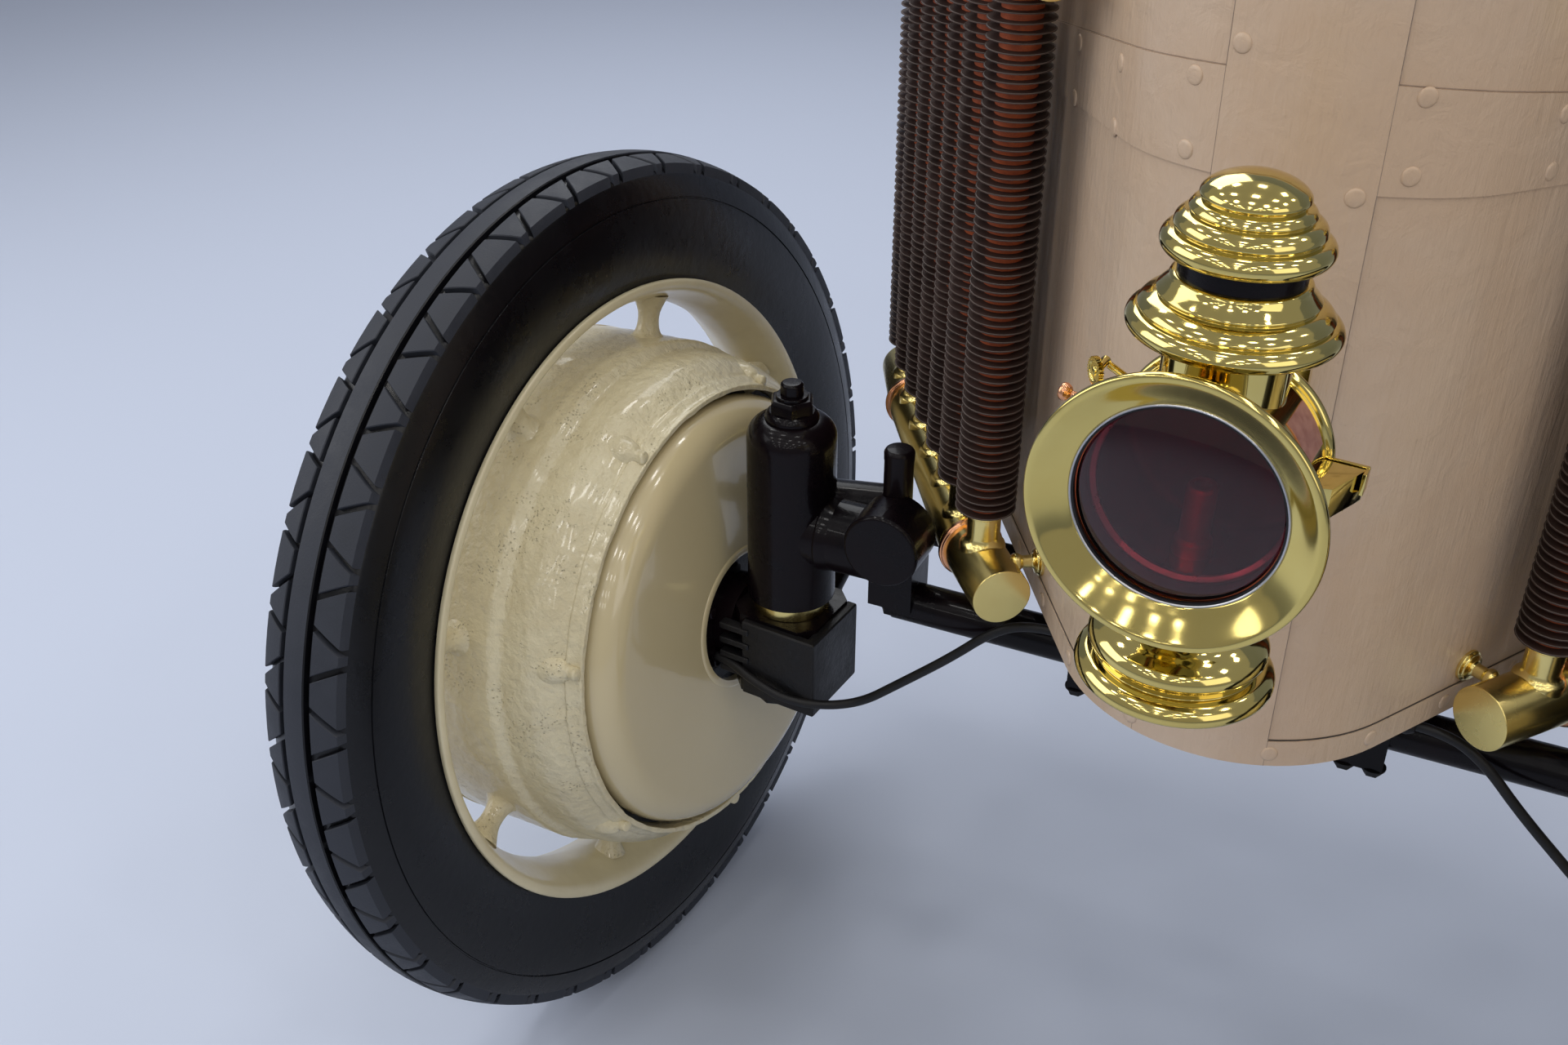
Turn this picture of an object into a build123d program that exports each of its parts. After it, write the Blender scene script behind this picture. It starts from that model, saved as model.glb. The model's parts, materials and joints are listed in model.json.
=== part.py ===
"""Front end of an early hybrid car: two steered hub motor wheels on a rigid axle, a round
nosed casing with a brass oil lamp, and a finned tube radiator on each flank.
Millimetres, +Z up, -Y forward, +X to the car's left. The origin is the centre of the bolt
pattern on the frame's rear plate."""
from build123d import *
from math import asin, cos, radians, sin
import os

# Overall places, measured from the rear plate
AXLE_Y = -419              # line of the kingpins
KING_X = 436               # kingpin axis to the middle of the car
TYRE_R = 460
PIN_TO_WHEEL = 218.7       # kingpin axis to the tyre's middle, along the stub axle
CAMBER = 4.6               # degrees, tops of the wheels outward
STEER_AT_REST = -5.4       # degrees about +Z, both wheels turned a little to the car's right
FIT = 0.05                 # radial clearance of a turning fit
GAP = 0.3                  # clearance of faces that pass each other

# Frame and axle
RAIL_X = 120
RAIL_W = 40
RAIL_H = 60
RAIL_WALL = 5
RAIL_FRONT_Y = -466
PLATE_W = 370
PLATE_H = 90
PLATE_T = 12
BOLT_X = 310               # spacing of the rear plate's bolt holes
BOLT_Z = 50
BOLT_R = 7
BEAM_R = 20
SEAT_ROOF = 3               # of the saddles, over the beam
BEAM_Z = -RAIL_H / 2 - SEAT_ROOF - BEAM_R
BARREL_R = 43.5
BARREL_LOW = -76
BARREL_TOP = 118
BARREL_ROUND = 20
NECK_R = 33
NECK_Z = 2
WEB_R = 27                 # round web along the back of the neck
WEB_Z = 16
WEB_START = (8, 20)        # from the kingpin towards the car and rearward
WEB_END = (91, 40)
BOSS_X = 322
BOSS_R = 37
BOSS_Z = 28
BOSS_FRONT = 50            # from the kingpin line forward
BOSS_BACK = -4
STUD_R = 14
STUD_LOW = -58
STUD_TOP = 100
STUD_OUT = 4
LUG_W = 44
SADDLE_W = 40
SADDLE_L = 64
SADDLE_UNDER = 8

# Knuckle and stub axle, heights at the kingpin
PIN_R = 17
RING_R = 39
RING_H = 15
BLOCK_H = 94
BLOCK_X = 94
BLOCK_Y = 90
BLOCK_CHAMFER = 14
FOOT_BOLT_R = 13
FOOT_BOLT_H = 28
STUB_Z = -125              # stub axle's height where it meets the kingpin axis
STUB_R = 30
STUB_END_R = 25
NUT_STACK = ((24, 7), (19, 17), (11, 13))    # radius, height, from the barrel's top upward
ARM_BACK = 129             # steering arm's pin behind the kingpin
ARM_R = 13
ARM_ROOT_Z = -142
ARM_END_Z = -88
ARM_BOSS_R = 19
ARM_BOSS_H = 26
BALL_PIN_R = 8
TIE_Z = -57
TIE_R = 10.5
EYE_R = 20
EYE_H = 24
OPEN_EYE_CLEARANCE = 1.5   # the tie rod's left eye hangs free on its pin

# Wheel, along its axis (positive inward) and radially
RIM_W = 100
RIM_FLANGE_R = 336
RIM_SEAT_R = 322
RIM_WALL = 14
RIM_FLANGE_T = 6
TYRE_HALF_W = 52
TREAD_HALF_W = 43
DRUM_R = 272
DRUM_STEP_R = 262
DRUM_WALL = 14
DRUM_OUT_S = -66           # outer end of the drum
DRUM_STEP_S = 62
DRUM_ROUND_S = 96
DRUM_IN_S = 122
LIP_S = 136
LIP_R = 232
SPOKES = 8
SPOKE_R = 11
SPOKE_S = 12
FIRST_SPOKE = 72           # degrees from rearward, towards up
LUGS = 7
FIRST_LUG = 62
LUG_R = 13
LUG_RING_R = 247
LUG_END_S = 133
COVER_R = 228
COVER_ROUND = 32
COVER_FALL = 2              # of the disc from its hole to its round edge
COVER_SKIRT = 2
COVER_MID_S = 160
COVER_T = 8
COVER_HOLE_R = 68
FLANGE_R = 88
FLANGE_T = 10
CORE_R = 200
CORE_LOW_S = -10
CORE_TOP_S = 112
OUTER_T = 12
OUTER_BOSS_R = 52
OUTER_BOSS_L = 42
CAP_R = 46
CAP_L = 34
CAP_RIM = 5

# Nose casing
NOSE_R = 150
NOSE_ARC_Y = -432          # centre of the round front
FLANK_ANGLE = 32           # degrees from the car's length
NOSE_REAR_Y = -20
NOSE_LOW = -11
NOSE_TOP = 628
SHEET = 3
STRAP_T = 1.5
STRAP_HALF_ANGLE = 20.5    # degrees of the round front that the middle strap covers
HEM_H = 24
BAND_LOW = 461
BAND_TOP = 533
BAND_LOW_FALL = 0.1         # each edge's fall per length rearward
BAND_TOP_FALL = 0.18
LID_T = 14
LID_LAP = 8
DASH_T = 12
FORMER_W = 34
FORMER_T = 6
FORMER_LEVELS = (RAIL_H / 2, 540)

# Radiators: bends of a manifold as distance along the flank and distance out from it
MANIFOLD_BENDS = ((67, 44), (162, 55), (440, 55), (548, 46))
MANIFOLD_R = 27
MANIFOLD_LOW_Z = 18
MANIFOLD_TOP_Z = 563
TUBES = 7
FIRST_TUBE = 58            # along the manifold from its front end
TUBE_PITCH = 60
FIN_R = 27.5
FIN_LOW = 60
FIN_TOP = 523
STUB_PIPE_R = 15
COUPLING_R = 31
COUPLING_W = 8
COUPLINGS = (88, 388)      # coupling rings' middles, along the manifold
HOLDERS = (105, 400)       # along the flank
HOLDER_R = 7
HOLDER_RISE = 12
ROSETTE_R = 14
ROSETTE_T = 6

# Lamp: its place, its slight lean and turn, and profiles as radius and height above its axes
LAMP_X = 5
LAMP_Y = -767
LAMP_Z = 349
LAMP_LEAN = 0.9
LAMP_TURN = -4.2
BEZEL_FRONT = 76           # forward of the upright axis
BEZEL_R = 88
BEZEL_DEPTH = 20
BEZEL_ROLL = 4
GLASS_R = 62.6
GLASS_T = 6
GLASS_BULGE = 9
BODY_R = 62
BODY_WALL = 3
BODY_BACK = 37             # behind the upright axis
BEAD_RISE = 5
BEAD_W = 9
CHIMNEY_R = 37
CANOPY_Z = 91              # height of the lower hood's widest ring
CANOPY_R = CHIMNEY_R + 24
CANOPY_H = 30
NECK_R = CHIMNEY_R - 1
NECK_H = 12
BRIM_R = NECK_R + 12
CAP_H = 47
FOUNT_NECK_R = 34
FOUNT_TOP_Z = BODY_R + 40
FOUNT_R = 64
FOUNT_H = 53
KNOB_R = 13
LAMP_ARM_Z = -30
LAMP_ARM_W = 34
LAMP_FOOT = (60, 24, 120)
SOCKET = (24, 38, 22)       # closed box on the body's left side
SOCKET_Y = 3

# Cables. A route's first points are measured from the kingpin with the wheels straight, and
# the others from the origin, on the car's right
CABLE_R = 4.5
HUB_ROUTE = ((-59, -50, -150), (-43, -51, -148.7), (-8, -60, -157), (38, -58, -168))
FRAME_ROUTE = (
    (-344, -466, -160),
    (-298, -461, -120),
    (-250, -459, -76),
    (-214, -456, -38),
    (-182, -452, -22),
    (-153, -452, -22),
)
HUB_GLAND_R = 7
HUB_GLAND_GAP = 0.4
GLAND_R = 8

os.makedirs("parts", exist_ok=True)


def write(name, solids):
    """Write one sub-part: a solid, or a list of solids that don't touch."""
    shape = solids if not isinstance(solids, list) else Compound(children=solids)
    export_step(shape, f"parts/{name}.step")


def rod(start, end, radius):
    """A round bar between two points."""
    start = Vector(start)
    run = Vector(end) - start
    return Plane(origin=start, z_dir=run) * Cylinder(radius, run.length, align=(Align.CENTER, Align.CENTER, Align.MIN))


def post(x, y, low, top, radius):
    """An upright round bar."""
    return rod((x, y, low), (x, y, top), radius)


def block(x, y, z, along_x, along_y, along_z):
    """A box about a centre."""
    return Pos(x, y, z) * Box(along_x, along_y, along_z)


def turned(profile):
    """Revolve a closed outline about Z. A row is (radius, height), or (radius, height, radius
    and height of a point that an arc passes on its way there)."""
    edges = []
    last = profile[-1]
    for row in profile:
        here = (row[0], 0, row[1])
        before = (last[0], 0, last[1])
        if len(row) == 4:
            edges.append(ThreePointArc(before, (row[2], 0, row[3]), here))
        else:
            edges.append(Line(before, here))
        last = row
    return revolve(make_face(Wire(edges)), Axis.Z)


def crown(radius, low, high):
    """Outline row of a round end that rises from a radius to the axis."""
    centre = (high ** 2 - low ** 2 - radius ** 2) / (2 * (high - low))
    sphere = high - centre
    half = asin(radius / abs(sphere)) / 2
    return 0, high, abs(sphere) * sin(half), centre + sphere * cos(half)


def both(solid):
    """A solid of the car's right half and its mirror image on the left."""
    return [solid, mirror(solid, about=Plane.YZ)]


def at_kingpin(side, solid):
    """Place a solid, made about the right kingpin with the wheels straight, on one side."""
    if side > 0:
        solid = mirror(solid, about=Plane.YZ)
    return Pos(side * KING_X, AXLE_Y, 0) * Rot(0, 0, STEER_AT_REST) * solid


def inward():
    """Direction of the right stub axle, towards the car, before steering."""
    return Vector(cos(radians(CAMBER)), 0, sin(radians(CAMBER)))


def wheel_plane():
    """The right wheel's plane about its kingpin: X rearward, Y up, Z inward."""
    centre = Vector(0, 0, STUB_Z) - inward() * PIN_TO_WHEEL
    return Plane(origin=centre, x_dir=(0, 1, 0), z_dir=inward())


def on_wheel(solid):
    return wheel_plane() * solid


# Wheels

def tyre():
    seat = RIM_W / 2 - RIM_FLANGE_T - GAP
    mid = (RIM_FLANGE_R + TYRE_R) / 2
    shoulder = TYRE_R - 9
    return turned((
        (RIM_SEAT_R, -seat),
        (RIM_SEAT_R, seat),
        (RIM_FLANGE_R + 3, seat),
        (shoulder, TREAD_HALF_W, mid - 4, TYRE_HALF_W + 0.5),
        (shoulder, -TREAD_HALF_W, TYRE_R, 0),
        (RIM_FLANGE_R + 3, -seat, mid - 4, -TYRE_HALF_W - 0.5),
    ))


def rim_and_drum():
    """One casting: rim, short round spokes and the motor's drum with its bolt lugs."""
    half = RIM_W / 2
    inner = half - RIM_FLANGE_T
    rim = turned((
        (RIM_SEAT_R, -inner),
        (RIM_FLANGE_R, -inner),
        (RIM_FLANGE_R, -half),
        (RIM_SEAT_R - RIM_WALL, -half),
        (RIM_SEAT_R - RIM_WALL, half),
        (RIM_FLANGE_R, half),
        (RIM_FLANGE_R, inner),
        (RIM_SEAT_R, inner),
    ))
    bore = DRUM_STEP_R - DRUM_WALL
    drum = turned((
        (bore, DRUM_OUT_S),
        (DRUM_R, DRUM_OUT_S),
        (DRUM_R, DRUM_STEP_S),
        (DRUM_STEP_R, DRUM_STEP_S + 6),
        (DRUM_STEP_R - 4, DRUM_ROUND_S),
        (LIP_R + 10, DRUM_IN_S, DRUM_STEP_R - 13, DRUM_IN_S - 8),
        (LIP_R + 6, LIP_S),
        (LIP_R, LIP_S),
        (LIP_R, DRUM_ROUND_S + 14),
        (bore, DRUM_ROUND_S - 6),
    ))
    casting = rim + drum
    for number in range(SPOKES):
        spoke = Rot(0, 0, FIRST_SPOKE + number * 360 / SPOKES) * rod(
            (DRUM_R - 4, 0, SPOKE_S), (RIM_SEAT_R - RIM_WALL + 4, 0, SPOKE_S), SPOKE_R)
        casting += spoke
    for number in range(LUGS):
        lug = Rot(0, 0, FIRST_LUG + number * 360 / LUGS) * rod(
            (LUG_RING_R, 0, DRUM_ROUND_S - 6), (LUG_RING_R, 0, LUG_END_S), LUG_R)
        casting += lug
    return casting


def outer_cover():
    """Plate that closes the drum's outer side and carries the wheel on the stub axle."""
    face = DRUM_OUT_S - OUTER_T
    bore = STUB_END_R + FIT
    return turned((
        (bore, face),
        (DRUM_R - 6, face),
        (DRUM_R, face + 6),
        (DRUM_R, DRUM_OUT_S),
        (OUTER_BOSS_R, DRUM_OUT_S),
        (OUTER_BOSS_R - 6, DRUM_OUT_S + OUTER_BOSS_L),
        (bore, DRUM_OUT_S + OUTER_BOSS_L),
    ))


def hub_cap():
    face = DRUM_OUT_S - OUTER_T
    return turned((
        (0, face),
        (CAP_R + 8, face),
        (CAP_R + 8, face - CAP_RIM),
        (CAP_R, face - CAP_RIM),
        (CAP_R, face - CAP_L / 2),
        crown(CAP_R, face - CAP_L / 2, face - CAP_L),
    ))


def motor_cover():
    """Still, nearly flat disc with a broad round edge, over the motor's inner side."""
    flat_r = FLANGE_R + 4
    centre_r = COVER_R - COVER_ROUND
    centre_s = COVER_MID_S - COVER_FALL - COVER_ROUND
    low = centre_s - COVER_SKIRT
    outer = COVER_ROUND * cos(radians(45))
    inner = (COVER_ROUND - COVER_T) * cos(radians(45))
    return turned((
        (COVER_HOLE_R, COVER_MID_S - COVER_T),
        (COVER_HOLE_R, COVER_MID_S),
        (flat_r, COVER_MID_S),
        (centre_r, centre_s + COVER_ROUND),
        (COVER_R, centre_s, centre_r + outer, centre_s + outer),
        (COVER_R, low),
        (COVER_R - COVER_T, low),
        (COVER_R - COVER_T, centre_s),
        (centre_r, centre_s + COVER_ROUND - COVER_T, centre_r + inner, centre_s + inner),
        (flat_r, COVER_MID_S - COVER_T),
    ))


def motor_core():
    """The motor's still winding and iron, as one plain mass."""
    return turned(((STUB_R, CORE_LOW_S), (CORE_R, CORE_LOW_S), (CORE_R, CORE_TOP_S), (STUB_R, CORE_TOP_S)))


# Knuckles

def ring_low():
    return BARREL_LOW - GAP - RING_H


def knuckle():
    """Block under the barrel with the kingpin, stub axle, flange, steering arm and ball pin."""
    top = ring_low()
    body = block(0, 0, top - BLOCK_H / 2, BLOCK_X, BLOCK_Y, BLOCK_H)
    body = chamfer(body.edges().filter_by(Axis.Z), BLOCK_CHAMFER)
    body += post(0, 0, top - BLOCK_H - FOOT_BOLT_H, top - BLOCK_H + 1, FOOT_BOLT_R)
    body += post(0, 0, top - 1, BARREL_TOP + GAP, PIN_R)
    flange_s = COVER_MID_S - COVER_T
    stub = post(0, 0, CORE_LOW_S, flange_s, STUB_R)
    stub += post(0, 0, DRUM_OUT_S - OUTER_T + 2, CORE_LOW_S + 1, STUB_END_R)
    stub += post(0, 0, flange_s - FLANGE_T, flange_s, FLANGE_R)
    stub += post(0, 0, flange_s - 1, PIN_TO_WHEEL - BLOCK_X / 2 + 2, STUB_R + 16)
    body += on_wheel(stub)
    body += rod((0, BLOCK_Y / 2 - 8, ARM_ROOT_Z), (0, ARM_BACK, ARM_END_Z), ARM_R)
    body += post(0, ARM_BACK, ARM_END_Z - ARM_BOSS_H / 2, TIE_Z - EYE_H / 2 - GAP, ARM_BOSS_R)
    body += post(0, ARM_BACK, ARM_END_Z, TIE_Z + EYE_H / 2 + 6, BALL_PIN_R)
    gland_end = Vector(*HUB_ROUTE[0]) - inward() * HUB_GLAND_GAP
    body += rod(gland_end - inward() * 9, gland_end, HUB_GLAND_R)
    return body


def thrust_ring():
    washer = post(0, 0, ring_low(), ring_low() + RING_H, RING_R)
    return washer - post(0, 0, ring_low() - 1, ring_low() + RING_H + 1, PIN_R)


def kingpin_nut():
    """Washer, nut and lock nut that stand on the kingpin above the barrel."""
    level = BARREL_TOP + GAP
    stack = None
    for radius, height in NUT_STACK:
        step = post(0, 0, level, level + height, radius)
        stack = step if stack is None else stack + step
        level += height
    return stack


def route_tube(points):
    """A cable's tube along straight runs joined by tangent arcs as large as the runs allow."""
    places = [Vector(*point) for point in points]
    radii = []
    for before, here, after in zip(places, places[1:], places[2:]):
        turn = (here - before).get_angle(after - here)
        shorter = min((here - before).length, (after - here).length)
        radii.append(0.45 * shorter / (sin(radians(turn / 2)) / cos(radians(turn / 2))))
    path = FilletPolyline(*places, radius=radii)
    tube = sweep(Plane(origin=places[0], z_dir=places[1] - places[0]) * Circle(CABLE_R), path=path)
    print("cable radii", [round(radius) for radius in radii], "length", round(path.length),
          "volume ratio", round(tube.volume / (path.length * 3.14159265 * CABLE_R ** 2), 4))
    return tube


def cable_route(side):
    """A motor cable's points, from the hub's gland to the one on the frame rail."""
    turn = radians(STEER_AT_REST)
    points = []
    for x, y, z in HUB_ROUTE:
        x *= -side
        points.append((side * KING_X + x * cos(turn) - y * sin(turn), AXLE_Y + x * sin(turn) + y * cos(turn), z))
    return points + [(-side * x, y, z) for x, y, z in FRAME_ROUTE]


def cable_gland(side):
    """Gland on the rail's outer face."""
    x, y, z = cable_route(side)[-1]
    return rod((side * (RAIL_X + RAIL_W / 2), y, z), (x, y, z), GLAND_R)


def tie_pin(side):
    """Where the steering arm's pin stands at rest."""
    turn = radians(STEER_AT_REST)
    return side * KING_X - ARM_BACK * sin(turn), AXLE_Y + ARM_BACK * cos(turn)


def tie_rod():
    right_x, y = tie_pin(-1)
    left_x = tie_pin(1)[0]
    bar = rod((right_x, y, TIE_Z), (left_x, y, TIE_Z), TIE_R)
    for x, clearance in ((right_x, FIT), (left_x, OPEN_EYE_CLEARANCE)):
        bar += post(x, y, TIE_Z - EYE_H / 2, TIE_Z + EYE_H / 2, EYE_R)
        bar -= post(x, y, TIE_Z - EYE_H, TIE_Z + EYE_H, BALL_PIN_R + clearance)
    return bar


# Frame and axle

def axle_beam():
    """Cross tube with a lug, a clamp boss, a neck and a kingpin barrel at each end."""
    beam = rod((-BOSS_X, AXLE_Y, BEAM_Z), (BOSS_X, AXLE_Y, BEAM_Z), BEAM_R)
    barrel = post(-KING_X, AXLE_Y, BARREL_LOW, BARREL_TOP, BARREL_R)
    barrel = fillet(barrel.edges().sort_by(Axis.Z)[-1], BARREL_ROUND)
    end = barrel + rod((-KING_X, AXLE_Y, NECK_Z), (-BOSS_X, AXLE_Y, NECK_Z), NECK_R)
    web = [(-KING_X + inner, AXLE_Y + back, WEB_Z) for inner, back in (WEB_START, WEB_END)]
    end += rod(web[0], web[1], WEB_R)
    end += rod((-BOSS_X, AXLE_Y - BOSS_FRONT, BOSS_Z), (-BOSS_X, AXLE_Y + BOSS_BACK, BOSS_Z), BOSS_R)
    end += block(-BOSS_X, AXLE_Y, (BEAM_Z + BOSS_Z) / 2, LUG_W, LUG_W, BOSS_Z - BEAM_Z)
    end += post(-BOSS_X - STUD_OUT, AXLE_Y, STUD_LOW, STUD_TOP, STUD_R)
    end -= post(-KING_X, AXLE_Y, BARREL_LOW - 1, BARREL_TOP + 1, PIN_R + FIT)
    return beam + end + mirror(end, about=Plane.YZ)


def saddle():
    low = BEAM_Z - BEAM_R - SADDLE_UNDER
    top = -RAIL_H / 2
    seat = block(-RAIL_X, AXLE_Y, (low + top) / 2, SADDLE_W, SADDLE_L, top - low)
    return seat - rod((-RAIL_X - SADDLE_W, AXLE_Y, BEAM_Z), (-RAIL_X + SADDLE_W, AXLE_Y, BEAM_Z), BEAM_R)


def rail():
    """Channel section that opens towards the car's middle."""
    length = -PLATE_T - RAIL_FRONT_Y
    middle = (RAIL_FRONT_Y - PLATE_T) / 2
    bar = block(-RAIL_X, middle, 0, RAIL_W, length, RAIL_H)
    hollow = block(-RAIL_X + RAIL_WALL, middle, 0, RAIL_W, length + 2, RAIL_H - 2 * RAIL_WALL)
    return bar - hollow


def rear_plate():
    plate = block(0, -PLATE_T / 2, 0, PLATE_W, PLATE_T, PLATE_H)
    for x in (-BOLT_X / 2, BOLT_X / 2):
        for z in (-BOLT_Z / 2, BOLT_Z / 2):
            plate -= rod((x, -PLATE_T - 1, z), (x, 1, z), BOLT_R)
    return plate


# Nose casing

def flank_point(along, out):
    """A place beside the right flank: distance along it from where it leaves the round front,
    and distance out from its outer face."""
    turn = radians(FLANK_ANGLE)
    x = -(NOSE_R + out) * cos(turn) - along * sin(turn)
    y = NOSE_ARC_Y - (NOSE_R + out) * sin(turn) + along * cos(turn)
    return x, y


def half_outline(inner, outer, rear_y, from_angle=0.0):
    """Plan of a wall on the right half, between two offsets from the casing's outer face."""
    turn = radians(FLANK_ANGLE)
    edges = []
    ends = []
    for out in (outer, inner):
        radius = NOSE_R + out
        start = radians(from_angle)
        middle = (start + radians(90) - turn) / 2
        front = (-radius * sin(start), NOSE_ARC_Y - radius * cos(start))
        bulge = (-radius * sin(middle), NOSE_ARC_Y - radius * cos(middle))
        tangent = flank_point(0, out)
        along = (rear_y - tangent[1]) / cos(turn)
        rear = flank_point(along, out)
        edges += [ThreePointArc(front, bulge, tangent), Line(tangent, rear)]
        ends.append((front, rear))
    edges += [Line(ends[0][0], ends[1][0]), Line(ends[0][1], ends[1][1])]
    return make_face(Wire(edges))


def nose_wall(inner, outer, low, top, rear_y=NOSE_REAR_Y, from_angle=0.0):
    return Pos(0, 0, low) * extrude(half_outline(inner, outer, rear_y, from_angle), top - low)


def nose_plan(out, rear_y=NOSE_REAR_Y):
    """Plan of the whole casing, grown outward by an offset."""
    turn = radians(FLANK_ANGLE)
    radius = NOSE_R + out
    tangent = flank_point(0, out)
    along = (rear_y - tangent[1]) / cos(turn)
    rear = flank_point(along, out)
    front = (0, NOSE_ARC_Y - radius)
    return make_face(Wire([
        ThreePointArc(tangent, front, (-tangent[0], tangent[1])),
        Line((-tangent[0], tangent[1]), (-rear[0], rear[1])),
        Line((-rear[0], rear[1]), rear),
        Line(rear, tangent),
    ]))


def side_band():
    """Riveted belt on one flank, whose edges fall towards the rear."""
    front = NOSE_ARC_Y - NOSE_R - 2 * STRAP_T
    run = NOSE_REAR_Y - front + STRAP_T
    low = BAND_LOW - run * BAND_LOW_FALL
    top = BAND_TOP - run * BAND_TOP_FALL
    corners = ((0, front, BAND_LOW), (0, front + run, low), (0, front + run, top), (0, front, BAND_TOP))
    cutter = extrude(make_face(Polyline(*corners, close=True)), NOSE_R + run, dir=(-1, 0, 0))
    return nose_wall(0, STRAP_T, low, BAND_TOP, from_angle=STRAP_HALF_ANGLE) & cutter


def middle_strap():
    """Upright strap that covers the joint of the two side sheets."""
    half = radians(STRAP_HALF_ANGLE)
    edges = []
    ends = []
    for radius in (NOSE_R, NOSE_R + STRAP_T):
        left = (radius * sin(half), NOSE_ARC_Y - radius * cos(half))
        edges.append(ThreePointArc((-left[0], left[1]), (0, NOSE_ARC_Y - radius), left))
        ends.append(left)
    edges.append(Line(ends[0], ends[1]))
    edges.append(Line((-ends[0][0], ends[0][1]), (-ends[1][0], ends[1][1])))
    return Pos(0, 0, NOSE_LOW) * extrude(make_face(Wire(edges)), NOSE_TOP - NOSE_LOW)


def nose_lid():
    lid = Pos(0, 0, NOSE_TOP) * extrude(nose_plan(LID_LAP, NOSE_REAR_Y + LID_LAP), LID_T)
    return fillet(lid.edges().group_by(Axis.Z)[-1], LID_T / 2)


def nose_dash():
    """Upright board that closes the casing's rear, between the side sheets."""
    board = Pos(0, 0, RAIL_H / 2) * extrude(nose_plan(-SHEET), NOSE_TOP - RAIL_H / 2)
    keep = block(0, NOSE_REAR_Y - DASH_T / 2, NOSE_TOP / 2, 4 * NOSE_R * 2, DASH_T, 2 * NOSE_TOP)
    return board & keep


def nose_former(level):
    """Flat ring inside the casing that holds its shape; the lower one lies on the rails."""
    rear = NOSE_REAR_Y - DASH_T
    ring = extrude(nose_plan(-SHEET, rear), FORMER_T)
    ring -= extrude(nose_plan(-SHEET - FORMER_W, rear - FORMER_W), FORMER_T)
    return Pos(0, 0, level) * ring


# Radiators

def manifold_points(level):
    return [Vector(*flank_point(along, out), level) for along, out in MANIFOLD_BENDS]


def along_manifold(distance, level):
    """Place and direction at a distance from the manifold's front end."""
    points = manifold_points(level)
    for start, end in zip(points, points[1:]):
        run = end - start
        if distance <= run.length or end is points[-1]:
            return start + run.normalized() * distance, run.normalized()
        distance -= run.length


def tube_places():
    return [along_manifold(FIRST_TUBE + number * TUBE_PITCH, 0)[0] for number in range(TUBES)]


def manifold(level, stub_end):
    """Pipe in straight lengths, with a short stub to each tube and holders on the flank."""
    points = manifold_points(level)
    pipe = None
    for start, end in zip(points, points[1:]):
        length = rod(start, end, MANIFOLD_R)
        pipe = length if pipe is None else pipe + length
    for bend in points[1:-1]:
        pipe += Pos(*bend) * Sphere(MANIFOLD_R)
    for place in tube_places():
        pipe += rod((place.X, place.Y, level), (place.X, place.Y, stub_end), STUB_PIPE_R)
    rise = HOLDER_RISE if stub_end > level else 0
    for along in HOLDERS:
        foot = Vector(*flank_point(along, 0), level + rise)
        top = Vector(*flank_point(along, MANIFOLD_BENDS[1][1] - MANIFOLD_R / 2), level + rise)
        disc = foot + (top - foot).normalized() * ROSETTE_T
        pipe += rod(foot, disc, ROSETTE_R) + rod(foot, top, HOLDER_R)
    return pipe


def radiator_tubes():
    return [post(place.X, place.Y, FIN_LOW, FIN_TOP, FIN_R) for place in tube_places()]


def coupling_rings():
    rings = []
    for level in (MANIFOLD_LOW_Z, MANIFOLD_TOP_Z):
        for distance in COUPLINGS:
            middle, way = along_manifold(distance, level)
            half = way * (COUPLING_W / 2)
            ring = rod(middle - half, middle + half, COUPLING_R)
            rings.append(ring - rod(middle - way * COUPLING_W, middle + way * COUPLING_W, MANIFOLD_R))
    return rings


# Lamp, made about its own axes and then set before the nose

def at_lamp(solid):
    return Pos(LAMP_X, LAMP_Y, LAMP_Z) * Rot(0, LAMP_LEAN, 0) * Rot(0, 0, LAMP_TURN) * solid


def facing(profile):
    """A turned piece whose axis points forward: heights run forward from the upright axis."""
    return Rot(90, 0, 0) * turned(profile)


def lamp_body():
    """Hollow drum with a bead round its back, the chimney above, the tank's neck below and a socket."""
    front = BEZEL_FRONT - BEZEL_DEPTH
    corner = BEAD_W / 2
    bead = -BODY_BACK + BEAD_W
    drum = facing((
        (0, -BODY_BACK),
        (BODY_R - corner, -BODY_BACK),
        (BODY_R, -BODY_BACK + corner, BODY_R - corner * 0.3, -BODY_BACK + corner * 0.3),
        (BODY_R, bead + corner, BODY_R + BEAD_RISE, bead),
        (BODY_R, front),
        (BODY_R - BODY_WALL, front),
        (BODY_R - BODY_WALL, -BODY_BACK + BODY_WALL),
        (0, -BODY_BACK + BODY_WALL),
    ))
    bore = CHIMNEY_R - BODY_WALL
    chimney = post(0, 0, 0, CANOPY_Z + BODY_WALL, CHIMNEY_R) - post(0, 0, -1, CANOPY_Z + BODY_R, bore)
    inside = Rot(90, 0, 0) * Cylinder(BODY_R - BODY_WALL, 2 * (BODY_BACK + BODY_R))
    neck = post(0, 0, -FOUNT_TOP_Z, 0, FOUNT_NECK_R)
    side, deep, high = SOCKET
    socket = block((BODY_R + side) / 2, SOCKET_Y, 0, BODY_R + side, deep, high)
    return drum + (chimney - inside) + (neck - inside) + (socket - inside)


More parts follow.
